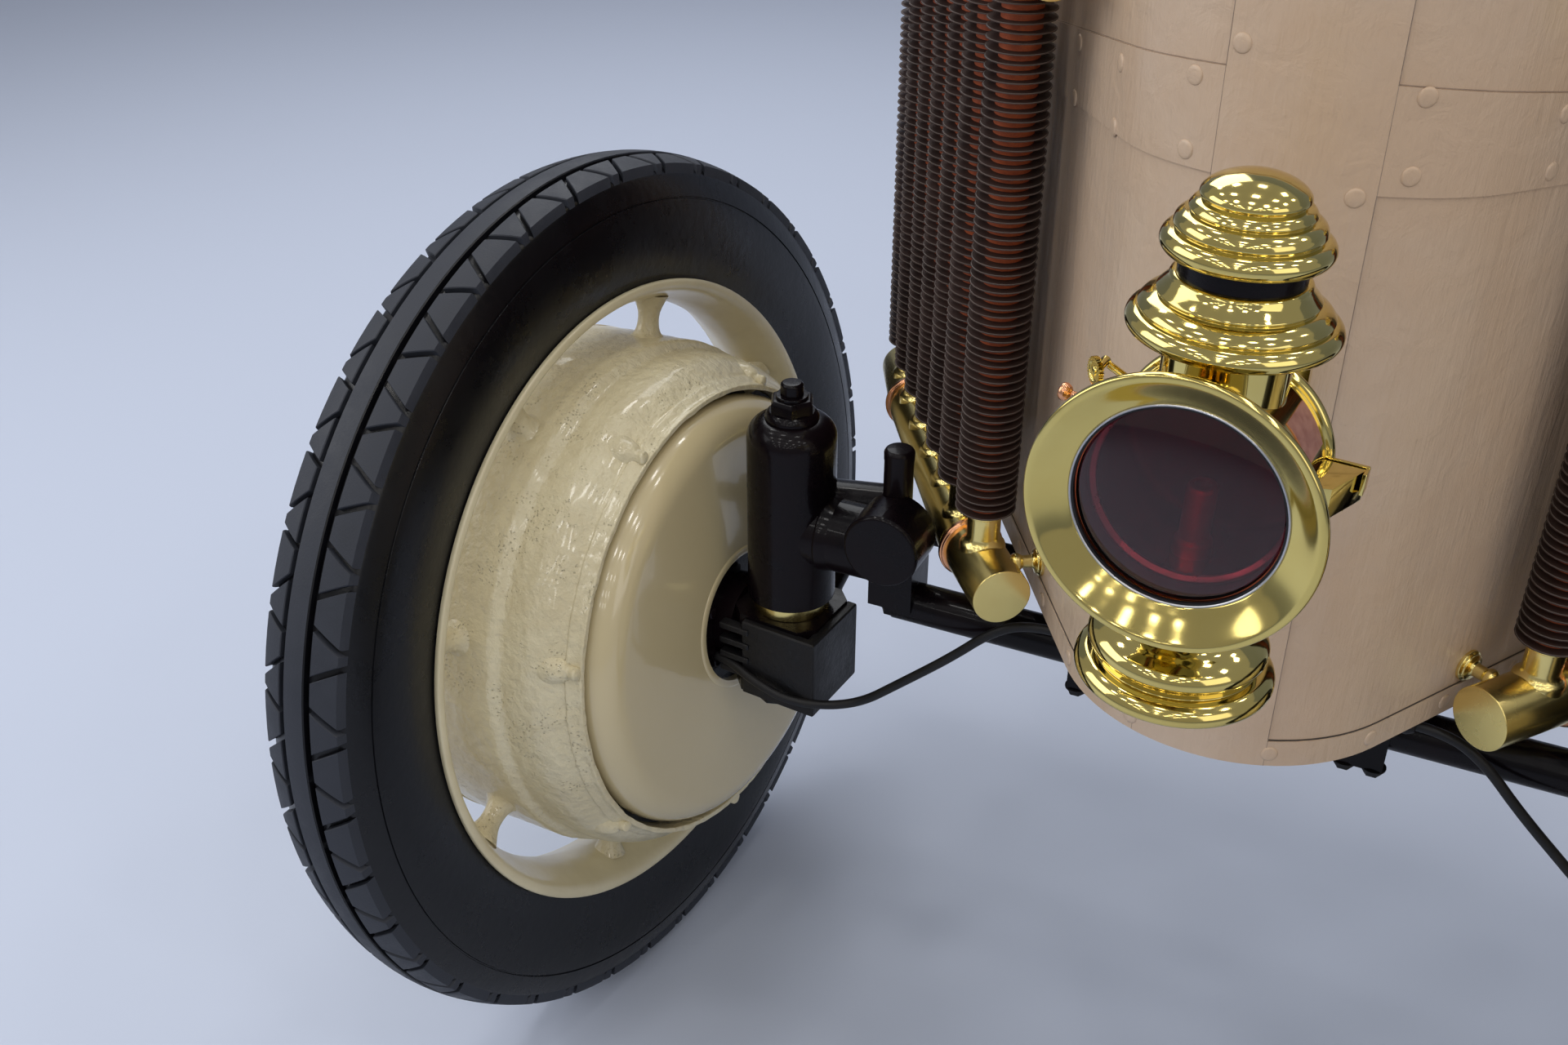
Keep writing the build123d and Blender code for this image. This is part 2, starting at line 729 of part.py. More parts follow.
def lamp_bezel():
    """Funnel shaped ring with a rolled rim, on the front of the drum."""
    front = BEZEL_FRONT
    back = BEZEL_FRONT - BEZEL_DEPTH
    roll = BEZEL_ROLL
    return facing((
        (GLASS_R + 1, back),
        (GLASS_R + 1, back + roll),
        (BEZEL_R - 2 * roll, front - roll),
        (BEZEL_R - roll, front),
        (BEZEL_R, front - roll, BEZEL_R - 1, front - 1),
        (BEZEL_R - roll, front - 2 * roll, BEZEL_R - 1, front - 2 * roll + 1),
        (BODY_R + roll, back - roll),
        (BODY_R + roll, back - 3 * roll),
        (BODY_R, back - 3 * roll),
        (BODY_R, back),
    ))


def lamp_glass():
    back = BEZEL_FRONT - BEZEL_DEPTH
    edge = BODY_R - BODY_WALL
    return facing((
        (0, back - GLASS_T),
        (edge, back - GLASS_T),
        (edge, back),
        crown(edge, back, back + GLASS_BULGE),
    ))


def lamp_canopy():
    """Lower flared hood with a rolled brim, on the chimney tube."""
    low = CANOPY_Z
    top = CANOPY_Z + CANOPY_H
    return turned((
        (CHIMNEY_R, low + BODY_WALL),
        (CHIMNEY_R, low - 5),
        (CANOPY_R - 5, low - 5),
        (CANOPY_R, low, CANOPY_R - 1, low - 4),
        (CANOPY_R - 6, low + 7, CANOPY_R - 1, low + 5),
        (CANOPY_R - 12, low + 9),
        (NECK_R + 8, low + 18, NECK_R + 10, low + 14),
        (NECK_R + 2, top - 3, NECK_R + 5, low + 24),
        (NECK_R, top),
        (NECK_R - BODY_WALL, top),
        (NECK_R - BODY_WALL, low + BODY_WALL),
    ))


def lamp_neck():
    low = CANOPY_Z + CANOPY_H
    bore = NECK_R - 2 * BODY_WALL
    return turned(((bore, low), (NECK_R, low), (NECK_R, low + NECK_H), (bore, low + NECK_H)))


def lamp_cap():
    """Stepped top with a rolled brim and a round crown."""
    low = CANOPY_Z + CANOPY_H + NECK_H
    return turned((
        (0, low),
        (BRIM_R - 5, low),
        (BRIM_R, low + 7, BRIM_R - 1, low + 2),
        (BRIM_R - 4, low + 13, BRIM_R - 1, low + 11),
        (BRIM_R - 9, low + 17, BRIM_R - 7, low + 15),
        (BRIM_R - 10, low + 22, BRIM_R - 8, low + 20),
        (BRIM_R - 18, low + 29, BRIM_R - 14, low + 25),
        (BRIM_R - 19, low + 33),
        crown(BRIM_R - 19, low + 33, low + CAP_H),
    ))


def lamp_fount():
    """Round oil tank under the body, with two rolled rings."""
    low = -FOUNT_TOP_Z - FOUNT_H
    return turned((
        (0, low),
        (FOUNT_R - 9, low),
        (FOUNT_R, low + 6, FOUNT_R - 1, low + 1),
        (FOUNT_R - 9, low + 15, FOUNT_R - 1, low + 13),
        (FOUNT_R - 11, low + 20, FOUNT_R - 12, low + 17),
        (FOUNT_R - 7, low + 27, FOUNT_R - 7, low + 23),
        (FOUNT_R - 14, low + 36, FOUNT_R - 8, low + 34),
        (FOUNT_NECK_R + 4, low + 42, FOUNT_NECK_R + 10, low + 38),
        (FOUNT_NECK_R, low + FOUNT_H),
        (0, low + FOUNT_H),
    ))


def lamp_knob():
    """Wick wheel on the body's side."""
    near = BODY_R * cos(radians(45))
    reach = KNOB_R + 6
    stem = rod((-near + 8, 0, near - 8), (-near - reach, 0, near + reach), KNOB_R / 3)
    wheel = rod((-near - reach + 4, 0, near + reach - 4), (-near - reach, 0, near + reach), KNOB_R)
    inside = Rot(90, 0, 0) * Cylinder(BODY_R, 4 * BODY_R)
    return (stem + wheel) - inside


def lamp_bracket():
    """Foot plate on the nose's strap and the arm that holds the lamp's back."""
    foot_y = NOSE_ARC_Y - NOSE_R - STRAP_T
    back_y = LAMP_Y + BODY_BACK - BODY_WALL
    wide, deep, high = LAMP_FOOT
    level = LAMP_Z + LAMP_ARM_Z
    arm = block(LAMP_X, (foot_y + back_y) / 2, level, LAMP_ARM_W, foot_y - back_y, LAMP_ARM_W)
    face = Pos(0, NOSE_ARC_Y, level) * Cylinder(NOSE_R + STRAP_T, 2 * high)
    plate = block(LAMP_X, foot_y + 2, level, wide, deep, high)
    return (plate + arm) - face - at_lamp(lamp_back())


def lamp_back():
    """What the arm is cut to: everything that the drum fills, front of its flat back."""
    return Rot(90, 0, 0) * post(0, 0, -BODY_BACK, BODY_BACK, BODY_R + BEAD_RISE)


# Write the sub-parts

for side, word in ((-1, "right"), (1, "left")):
    write(f"tyre_{word}", at_kingpin(side, on_wheel(tyre())))
    write(f"wheel_casting_{word}", at_kingpin(side, on_wheel(rim_and_drum())))
    write(f"wheel_outer_cover_{word}", at_kingpin(side, on_wheel(outer_cover())))
    write(f"hub_cap_{word}", at_kingpin(side, on_wheel(hub_cap())))
    write(f"motor_cover_{word}", at_kingpin(side, on_wheel(motor_cover())))
    write(f"motor_core_{word}", at_kingpin(side, on_wheel(motor_core())))
    write(f"knuckle_{word}", at_kingpin(side, knuckle()))
    write(f"thrust_ring_{word}", at_kingpin(side, thrust_ring()))
    write(f"kingpin_nut_{word}", at_kingpin(side, kingpin_nut()))

write("tie_rod", tie_rod())
write("axle_beam", axle_beam())
write("axle_saddles", both(saddle()))
write("frame_rails", both(rail()))
write("rear_plate", rear_plate())
right_sheet, left_sheet = both(nose_wall(-SHEET, 0, NOSE_LOW, NOSE_TOP))
write("nose_sheet_right", right_sheet)
write("nose_sheet_left", left_sheet)
write("nose_middle_strap", middle_strap())
write("nose_side_bands", both(side_band()))
write("nose_hem_bands", both(nose_wall(0, STRAP_T, NOSE_LOW, NOSE_LOW + HEM_H, from_angle=STRAP_HALF_ANGLE)))
write("nose_lid", nose_lid())
write("nose_dash", nose_dash())
write("nose_formers", [nose_former(level) for level in FORMER_LEVELS])
for side, word in ((-1, "right"), (1, "left")):
    solids = radiator_tubes()
    if side > 0:
        solids = [mirror(solid, about=Plane.YZ) for solid in solids]
    write(f"radiator_tubes_{word}", solids)
write("lower_manifolds", both(manifold(MANIFOLD_LOW_Z, FIN_LOW)))
write("upper_manifolds", both(manifold(MANIFOLD_TOP_Z, FIN_TOP)))
rings = coupling_rings()
write("manifold_couplings", rings + [mirror(ring, about=Plane.YZ) for ring in rings])
write("lamp_body", at_lamp(lamp_body()))
write("lamp_bezel", at_lamp(lamp_bezel()))
write("lamp_glass", at_lamp(lamp_glass()))
write("lamp_canopy", at_lamp(lamp_canopy()))
write("lamp_neck", at_lamp(lamp_neck()))
write("lamp_cap", at_lamp(lamp_cap()))
write("lamp_fount", at_lamp(lamp_fount()))
write("lamp_knob", at_lamp(lamp_knob()))
write("lamp_bracket", lamp_bracket())
for side, word in ((-1, "right"), (1, "left")):
    write(f"motor_cable_{word}", route_tube(cable_route(side)))
write("cable_glands", [cable_gland(side) for side in (-1, 1)])
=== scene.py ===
"""Looks for the front end of an early hybrid car, over its packed model."""
import json
from math import cos, pi, radians, sin, sqrt

import bmesh
import bpy
from mathutils import Matrix, Vector, noise

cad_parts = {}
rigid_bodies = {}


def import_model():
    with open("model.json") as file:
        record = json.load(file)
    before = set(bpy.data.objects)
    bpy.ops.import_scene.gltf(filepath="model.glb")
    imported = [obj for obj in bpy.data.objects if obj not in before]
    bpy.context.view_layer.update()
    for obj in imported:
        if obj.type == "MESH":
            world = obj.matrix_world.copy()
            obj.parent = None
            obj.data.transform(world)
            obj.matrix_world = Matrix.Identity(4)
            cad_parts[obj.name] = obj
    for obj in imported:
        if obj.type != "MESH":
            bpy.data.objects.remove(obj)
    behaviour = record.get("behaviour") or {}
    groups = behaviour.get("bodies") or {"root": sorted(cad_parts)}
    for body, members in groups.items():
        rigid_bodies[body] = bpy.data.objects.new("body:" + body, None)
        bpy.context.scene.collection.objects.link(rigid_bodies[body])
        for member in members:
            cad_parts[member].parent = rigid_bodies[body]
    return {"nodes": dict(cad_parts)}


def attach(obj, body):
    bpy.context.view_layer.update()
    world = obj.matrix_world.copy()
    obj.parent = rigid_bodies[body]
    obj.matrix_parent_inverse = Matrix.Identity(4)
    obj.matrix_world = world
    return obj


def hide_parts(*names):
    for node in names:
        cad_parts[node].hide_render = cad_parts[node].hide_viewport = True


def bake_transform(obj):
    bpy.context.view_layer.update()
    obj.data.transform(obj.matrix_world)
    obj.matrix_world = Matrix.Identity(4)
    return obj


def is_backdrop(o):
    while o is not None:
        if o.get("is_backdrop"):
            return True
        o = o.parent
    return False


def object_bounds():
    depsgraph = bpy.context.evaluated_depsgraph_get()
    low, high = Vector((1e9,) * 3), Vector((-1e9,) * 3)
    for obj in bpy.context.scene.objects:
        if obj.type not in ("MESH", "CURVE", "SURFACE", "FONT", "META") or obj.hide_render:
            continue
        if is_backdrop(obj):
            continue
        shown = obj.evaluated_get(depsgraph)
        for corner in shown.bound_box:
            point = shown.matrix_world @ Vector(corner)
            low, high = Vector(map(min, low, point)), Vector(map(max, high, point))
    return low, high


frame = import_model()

bl_info = {
    "name": "Early Hybrid Car Front End",
    "version": (1, 0, 0),
    "blender": (4, 5, 0),
    "location": "3D View > Sidebar > Front End",
    "description": "Builds the looks of a front end with hub motors, finned radiators and a brass lamp",
    "category": "Object",
}

MM = 0.001
WHOLE_TURN = 2 * pi
SIDES = ((-1, "right"), (1, "left"))

# Places that the packed model fixes, in millimetres in its own frame
AXLE_Y = -419
KING_X = 436
STUB_Z = -125
PIN_TO_WHEEL = 218.7
CAMBER = radians(4.6)
STEER_AT_REST = radians(-5.4)
NOSE_R = 150
NOSE_ARC_Y = -432
FLANK = radians(32)
NOSE_ARC = (pi / 2 - FLANK) * NOSE_R
NOSE_LOW = -11
NOSE_TOP = 628
STRAP_HALF = radians(20.5)
BAND_LOW = 461
BAND_TOP = 533
BAND_LOW_FALL = 0.1
BAND_TOP_FALL = 0.18
HEM_TOP = 13
SKIN_T = 1.5
LAMP_PLACE = (5, -767, 349)
LAMP_LEAN = radians(0.9)
LAMP_TURN = radians(-4.2)
CLAMP_X = -326
SADDLE_X = -120
SADDLE_LOW = -81
PLATE_FRONT = -12

# The lamp's heights along its axis: the body's back, the glass's seat and the bezel's lip
LAMP_BACK = -37
LAMP_SEAT = 61.4
LAMP_LIP = 76

# The radiators' pipes, by distance along a flank and out from it, and the pieces along them
PIPE_BENDS = ((67, 44), (162, 55), (440, 55), (548, 46))
PIPE_R = 27
PIPE_LEVELS = {"lower": 18, "upper": 563}
FIRST_TUBE = 58
TUBE_PITCH = 60
FIN_INSET = 0.7
COUPLINGS = (88, 388)
STANDOFFS = (105, 400)

# The casing's rivets on the bands, by distance along the skin and height, as the photo shows them
BAND_RIVETS = {
    -1: [(45, 547), (77, 520), (77, 470), (179, 502), (179, 455), (285, 489), (285, 446)],
    1: [(41, 458), (73, 524), (73, 473), (195, 500), (195, 461), (300, 484), (300, 446)],
}
HEM_RIVETS = (57, 146, 236, 326, 416, 506, 596)
HEM_RIVET_LEVEL = 1

# How far the thin lines on the casing start and end over its skin
LINE_FOOT = 0.02
LINE_RISE = 0.5

# The tread: how far the crown falls towards its shoulder, and the blocks between the grooves
CROWN_FALL = 9
SHOULDER = 43
BLOCK_EDGE = 43.6
BLOCK_BEVEL = 0.8
BLOCK_ROOT = 9

# Where the first of each thing round a wheel stands, from the rear upwards
TREAD_START = radians(8.3)
SPOKE_START = radians(72)
LUG_START = radians(62)

# Along a wheel's axis, towards the car: the outer cover's face and the lugs' two ends
OUTER_FACE = -78
LUG_FOOT = 98
LUG_TIP = 136

CABLE_R = 4.5


# Placing

def at_kingpin(side):
    """From millimetres about the right kingpin with the wheels straight to a side's place."""
    flip = Matrix.Diagonal((-side, 1, 1, 1))
    place = Matrix.Translation((side * KING_X, AXLE_Y, 0)) @ Matrix.Rotation(STEER_AT_REST, 4, "Z")
    return Matrix.Scale(MM, 4) @ place @ flip


def on_wheel(side):
    """From millimetres in the wheel's plane, X rearward, Y up and Z towards the car."""
    inward = Vector((cos(CAMBER), 0, sin(CAMBER)))
    centre = Vector((0, 0, STUB_Z)) - inward * PIN_TO_WHEEL
    up = Vector((-sin(CAMBER), 0, cos(CAMBER)))
    axes = Matrix((Vector((0, 1, 0)), up, inward)).transposed().to_4x4()
    return at_kingpin(side) @ Matrix.Translation(centre) @ axes


def on_car(side=-1):
    """From millimetres on the car's right half to a side's place."""
    return Matrix.Scale(MM, 4) @ Matrix.Diagonal((-side, 1, 1, 1))


def on_lamp(x=0, y=0, z=0):
    """A place in the lamp's own upright axes, which lean and turn a little."""
    aim = Matrix.Rotation(LAMP_LEAN, 4, "Y") @ Matrix.Rotation(LAMP_TURN, 4, "Z")
    return Matrix.Scale(MM, 4) @ Matrix.Translation(LAMP_PLACE) @ aim @ Matrix.Translation((x, y, z))


def forward(x=0, y=0, z=0):
    """A lamp piece whose axis, its heights, runs forward."""
    return on_lamp(x, y, z) @ Matrix.Rotation(pi / 2, 4, "X")


def aimed(start, direction):
    """A matrix that puts a piece's Z axis along a direction from a place."""
    turn = Vector(direction).to_track_quat("Z", "Y").to_matrix().to_4x4()
    return Matrix.Translation(start) @ turn


def flank(along, out):
    """A place beside the right flank: distance along it and out from its face."""
    x = -(NOSE_R + out) * cos(FLANK) - along * sin(FLANK)
    y = NOSE_ARC_Y - (NOSE_R + out) * sin(FLANK) + along * cos(FLANK)
    return Vector((x, y, 0))


def nose_face(along, out=0.0):
    """A place on the right half's skin and its outward direction, by distance along the skin
    from the front's middle."""
    if along <= NOSE_ARC:
        turn = along / NOSE_R
        way = Vector((-sin(turn), -cos(turn), 0))
        return Vector((0, NOSE_ARC_Y, 0)) + way * (NOSE_R + out), way
    return flank(along - NOSE_ARC, out), Vector((-cos(FLANK), -sin(FLANK), 0))


# Meshes

def eased(rows):
    """Outline rows of radius, height and ease: a corner with an ease is rounded over that
    distance along both its sides."""
    points = []
    count = len(rows)
    for number, row in enumerate(rows):
        corner = Vector(row[:2])
        if len(row) < 3 or not row[2]:
            points.append(corner)
            continue
        before = Vector(rows[number - 1][:2]) - corner
        after = Vector(rows[(number + 1) % count][:2]) - corner
        start = corner + before.normalized() * min(row[2], before.length * 0.49)
        end = corner + after.normalized() * min(row[2], after.length * 0.49)
        for step in range(6):
            t = step / 5
            points.append(start * (1 - t) ** 2 + corner * 2 * t * (1 - t) + end * t ** 2)
    return points


def lathe(rows, steps):
    """Turn a closed outline about Z. Rows at radius 0 close on the axis."""
    mesh = bmesh.new()
    turns = [WHOLE_TURN * step / steps for step in range(steps)]
    rings = []
    for point in eased(rows):
        if point.x < 1e-6:
            rings.append([mesh.verts.new((0, 0, point.y))])
        else:
            places = [(point.x * cos(turn), point.x * sin(turn), point.y) for turn in turns]
            rings.append([mesh.verts.new(place) for place in places])
    for low, high in zip(rings, rings[1:] + rings[:1]):
        if len(low) == len(high) == 1:
            continue
        for step in range(steps):
            after = (step + 1) % steps
            corners = (low[step % len(low)], low[after % len(low)],
                       high[after % len(high)], high[step % len(high)])
            mesh.faces.new(list(dict.fromkeys(corners)))
    return mesh


def loft(rings, mesh=None):
    """Join rings of places into a solid, closed by a face at each end."""
    if mesh is None:
        mesh = bmesh.new()
    rings = [[mesh.verts.new(place) for place in ring] for ring in rings]
    for low, high in zip(rings, rings[1:]):
        for number in range(len(low)):
            after = (number + 1) % len(low)
            mesh.faces.new((low[number], low[after], high[after], high[number]))
    mesh.faces.new(rings[0])
    mesh.faces.new(rings[-1])
    return mesh


def box(mesh, centre, size, ease):
    """Add a box with rounded edges."""
    made = bmesh.ops.create_cube(mesh, size=1)["verts"]
    for vert in made:
        vert.co = Vector([part * whole for part, whole in zip(vert.co, size)]) + Vector(centre)
    edges = list({edge for vert in made for edge in vert.link_edges})
    bmesh.ops.bevel(mesh, geom=edges, offset=ease, segments=3, profile=0.7, affect="EDGES")


def pipe(mesh, start, end, rows, steps):
    """Add a turned piece whose heights run from a start towards an end."""
    part = lathe(rows, steps)
    part.transform(aimed(Vector(start), Vector(end) - Vector(start)))
    return join(mesh, part)


def join(mesh, part):
    """Add a second mesh to the first and free the second."""
    carrier = bpy.data.meshes.new("carrier")
    part.to_mesh(carrier)
    part.free()
    mesh.from_mesh(carrier)
    bpy.data.meshes.remove(carrier)
    return mesh


def plain(name, mesh):
    """Turn a working mesh into a Blender mesh whose faces point outwards, and free it."""
    bmesh.ops.recalc_face_normals(mesh, faces=mesh.faces)
    data = bpy.data.meshes.new(name)
    mesh.to_mesh(data)
    mesh.free()
    return data


def linked(name, data):
    """A new object in the scene."""
    item = bpy.data.objects.new(name, data)
    bpy.context.scene.collection.objects.link(item)
    return item


def as_seen(carrier):
    """The plain mesh that a curve or an object's modifiers give."""
    bpy.context.view_layer.update()
    return bpy.data.meshes.new_from_object(carrier.evaluated_get(bpy.context.evaluated_depsgraph_get()))


def piece(name, mesh, finish, body, place=None, stands_for=(), sharp=34):
    """Turn a mesh in millimetres into a finished piece that rides on a body."""
    mesh.transform(place or Matrix.Scale(MM, 4))
    data = plain(name, mesh)
    data.materials.append(finish)
    settle(linked(name, data), body, stands_for, sharp)


def settle(item, body, stands_for, sharp):
    """Shade a piece and tie it to its body."""
    item.data.shade_smooth()
    item.data.set_sharp_from_angle(angle=radians(sharp))
    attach(item, body)
    if stands_for:
        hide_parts(*stands_for)


# Geometry Nodes

def add_node(tree, kind, values, settings):
    """Add a node, with its inputs set, or linked where the value is a socket."""
    made = tree.nodes.new(kind)
    for key, value in settings.items():
        setattr(made, key, value)
    for key, value in values.items():
        if isinstance(value, bpy.types.NodeSocket):
            tree.links.new(value, made.inputs[key])
        else:
            made.inputs[key].default_value = value
    return made.outputs


class NodeGroup:
    """A node group with named inputs and outputs, built in order."""

    def __init__(self, kind, name, inputs, outputs):
        self.group = bpy.data.node_groups.new(name, kind)
        self.ids = {}
        for label, sort, default in inputs:
            socket = self.group.interface.new_socket(label, in_out="INPUT", socket_type="NodeSocket" + sort)
            if default is not None:
                socket.default_value = default
            self.ids[label] = socket.identifier
        for label, sort in outputs:
            self.group.interface.new_socket(label, in_out="OUTPUT", socket_type="NodeSocket" + sort)
        self.inputs = self.group.nodes.new("NodeGroupInput").outputs
        self.outputs = self.group.nodes.new("NodeGroupOutput").inputs

    def node(self, kind, values=None, **settings):
        """Add a node. A value that is the name of one of the group's inputs links it."""
        named = {}
        for key, value in (values or {}).items():
            named[key] = self.inputs[value] if isinstance(value, str) and value in self.ids else value
        return add_node(self.group, kind, named, settings)

    def math(self, operation, *values, **settings):
        """Work out one value from others."""
        return self.node("ShaderNodeMath", dict(enumerate(values)), operation=operation, **settings)[0]

    def give(self, label, socket):
        """Link a socket to one of the group's outputs."""
        self.group.links.new(socket, self.outputs[label])


class Tree(NodeGroup):
    """A geometry node tree that starts from a base mesh."""

    def __init__(self, name, sizes):
        sizes = (("Geometry", "Geometry", None), *sizes, ("Finish", "Material", None))
        super().__init__("GeometryNodeTree", name, sizes, (("Geometry", "Geometry"),))

    def copies(self, points, shape, rotation=None):
        """A shape on each point, turned where a rotation is given."""
        values = {"Points": points, "Instance": shape}
        if rotation:
            values["Rotation"] = rotation
        return self.node("GeometryNodeInstanceOnPoints", values)["Instances"]

    def real(self, geometry):
        """Real geometry in the place of instances."""
        return self.node("GeometryNodeRealizeInstances", {"Geometry": geometry})["Geometry"]

    def end(self, geometry):
        """Finish with real geometry and its material."""
        done = self.node("GeometryNodeSetMaterial", {"Geometry": self.real(geometry), "Material": "Finish"})
        self.give("Geometry", done["Geometry"])
        return self


def grown(name, base, tree, values, body, place=None, stands_for=(), sharp=34):
    """Run a tree on a base mesh in millimetres and settle the plain mesh that it gives."""
    data = plain(name + "_base", base)
    carrier = linked(name + "_base", data)
    modifier = carrier.modifiers.new("Pattern", "NODES")
    modifier.node_group = tree.group
    for label, value in values.items():
        modifier[tree.ids[label]] = value
    result = as_seen(carrier)
    result.name = name
    carrier.modifiers.remove(modifier)
    bpy.data.objects.remove(carrier)
    bpy.data.meshes.remove(data)
    place = place or Matrix.Scale(MM, 4)
    result.transform(place)
    if place.to_3x3().determinant() < 0:
        result.flip_normals()
    settle(linked(name, result), body, stands_for, sharp)


def ring_tree():
    """The base mesh repeated round Z."""
    tree = Tree("Repeat Round Axis", (("Copies", "Int", 8), ("First Angle", "Float", 0.0)))
    points = tree.node("GeometryNodePoints", {"Count": "Copies"})["Points"]
    index = tree.node("GeometryNodeInputIndex")["Index"]
    step = tree.math("DIVIDE", WHOLE_TURN, "Copies")
    angle = tree.math("MULTIPLY_ADD", index, step, "First Angle")
    turn = tree.node("ShaderNodeCombineXYZ", {"Z": angle})["Vector"]
    real = tree.real(tree.copies(points, "Geometry", turn))
    welded = tree.node("GeometryNodeMergeByDistance", {"Geometry": real, "Distance": 0.0})
    return tree.end(welded["Geometry"])


def fin_tree(edges):
    """A stack of thin round fins, or of their rounded edges, at each point of the base mesh."""
    tree = Tree("Fin Edges" if edges else "Finned Tubes", (
        ("Fins", "Int", 62), ("Fin Pitch", "Float", 7.4), ("Fin Radius", "Float", 27.4),
        ("Fin Thickness", "Float", 0.6)))
    if edges:
        around, wire = (
            tree.node("GeometryNodeCurvePrimitiveCircle", {"Resolution": corners, "Radius": radius})["Curve"]
            for corners, radius in ((24, "Fin Radius"), (3, "Fin Thickness")))
        fin = tree.node("GeometryNodeCurveToMesh", {"Curve": around, "Profile Curve": wire})
    else:
        fin = tree.node("GeometryNodeMeshCylinder", {
            "Vertices": 24, "Radius": "Fin Radius", "Depth": "Fin Thickness"}, fill_type="TRIANGLE_FAN")
    offset = tree.node("ShaderNodeCombineXYZ", {"Z": "Fin Pitch"})["Vector"]
    line = tree.node("GeometryNodeMeshLine", {
        "Count": "Fins", "Start Location": (0, 0, 0), "Offset": offset}, mode="OFFSET")["Mesh"]
    jitter = tree.node("FunctionNodeRandomValue", {
        "Min": (-0.022, -0.022, -3.0), "Max": (0.022, 0.022, 3.0), "Seed": 5}, data_type="FLOAT_VECTOR")
    stack = tree.real(tree.copies(line, fin["Mesh"], jitter["Value"]))
    return tree.end(tree.copies("Geometry", stack))


def stud_tree():
    """A small piece set on each point of the base mesh, its Z axis along the point's aim."""
    tree = Tree("Pieces On Points", (("Piece", "Object", None),))
    shape = tree.node("GeometryNodeObjectInfo", {"Object": "Piece"}, transform_space="ORIGINAL")["Geometry"]
    aim = tree.node("GeometryNodeInputNamedAttribute", {"Name": "aim"}, data_type="FLOAT_VECTOR")
    turn = tree.node("FunctionNodeAlignRotationToVector", {"Vector": aim["Attribute"]}, axis="Z")["Rotation"]
    return tree.end(tree.copies("Geometry", shape, turn))


def studs(name, shape, places, finish, body, place=None, sharp=34):
    """Copies of a small shape at places, each a point and its outward direction."""
    data = plain(name + "_shape", shape)
    pattern = bpy.data.objects.new(name + "_shape", data)
    base = bmesh.new()
    aim = base.verts.layers.float_vector.new("aim")
    for point, way in places:
        base.verts.new(point)[aim] = Vector(way)
    values = {"Piece": pattern, "Finish": finish}
    grown(name, base, TREES["studs"], values, body, place, sharp=sharp)
    bpy.data.objects.remove(pattern)
    bpy.data.meshes.remove(data)


def rivet_head(radius, rise):
    """Low round head whose foot sinks a little into its sheet."""
    return lathe((
        (0, -0.4), (radius, -0.4), (radius, 0.1), (radius * 0.82, rise * 0.75, radius * 0.3), (0, rise)), 16)


def hex_bolt(across, height, washer=True):
    """Hexagon head with a chamfered top, on a washer or bare."""
    radius = across / 2 / cos(pi / 6)
    head = lathe(((0, 0.5), (radius, 0.5), (radius, height - 1), (radius - 1.4, height), (0, height)), 6)
    if washer:
        wide = radius * 1.35
        join(head, lathe(((0, -0.3), (wide, -0.3), (wide, 1.2), (radius * 1.25, 1.6), (0, 1.6)), 24))
    return head


TREES = {}


# Finishes

class ShaderGroup(NodeGroup):
    """A shader node group that the finishes share."""

    def __init__(self, name, inputs, outputs):
        super().__init__("ShaderNodeTree", name, inputs, outputs)
        self.place = self.node("ShaderNodeTexCoord")["Object"]

    def noise(self, scale, detail, place=None, **more):
        """Noise at a scale over the object's own coordinates or another place."""
        values = {"Vector": place or self.place, "Scale": scale, "Detail": detail}
        values.update({label.capitalize(): value for label, value in more.items()})
        return self.node("ShaderNodeTexNoise", values)["Fac"]

    def between(self, value, low, high, first=0.0, last=1.0):
        """Stretch the part of a value between two limits."""
        return self.node("ShaderNodeMapRange", {
            "Value": value, "From Min": low, "From Max": high, "To Min": first, "To Max": last})["Result"]


def mottle_group():
    """Two colours and two roughnesses mixed in soft uneven patches."""
    group = ShaderGroup("Uneven Patches", (
        ("Colour", "Color", (0.5, 0.5, 0.5, 1)), ("Soiled Colour", "Color", (0.3, 0.3, 0.3, 1)),
        ("Amount", "Float", 0.3), ("Patches Per Metre", "Float", 9.0), ("Speckle", "Float", 0.2),
        ("Roughness", "Float", 0.4), ("Roughness Change", "Float", 0.1)),
        (("Colour", "Color"), ("Roughness", "Float")))
    wide = group.between(group.noise("Patches Per Metre", 5.0, roughness=0.6), 0.38, 0.66)
    finer = group.math("MULTIPLY", "Patches Per Metre", 14.0)
    speckle = group.math("MULTIPLY", group.between(group.noise(finer, 3.0), 0.35, 0.75), "Speckle")
    both = group.math("ADD", wide, speckle, use_clamp=True)
    share = group.math("MULTIPLY", both, "Amount")
    mixed = group.node("ShaderNodeMix", {0: share, 6: "Colour", 7: "Soiled Colour"}, data_type="RGBA")[2]
    group.give("Colour", mixed)
    group.give("Roughness", group.math("MULTIPLY_ADD", both, "Roughness Change", "Roughness"))
    return group.group


def cast_group():
    """Lumpy sand cast skin with scattered pits."""
    group = ShaderGroup("Cast Skin", (
        ("Lumps Per Metre", "Float", 60.0), ("Pits Per Metre", "Float", 220.0), ("Pit Depth", "Float", 0.5)),
        (("Height", "Float"), ("Pits", "Float")))
    lumps = group.noise("Lumps Per Metre", 4.0, roughness=0.55)
    cells = group.node("ShaderNodeTexVoronoi", {
        "Vector": group.place, "Scale": "Pits Per Metre", "Randomness": 1.0})["Distance"]
    zone = group.between(group.noise(26.0, 2.0), 0.5, 0.62)
    pits = group.math("MULTIPLY", group.between(cells, 0.08, 0.3, 1.0, 0.0), zone)
    group.give("Height", group.math("SUBTRACT", lumps, group.math("MULTIPLY", pits, "Pit Depth")))
    group.give("Pits", pits)
    return group.group


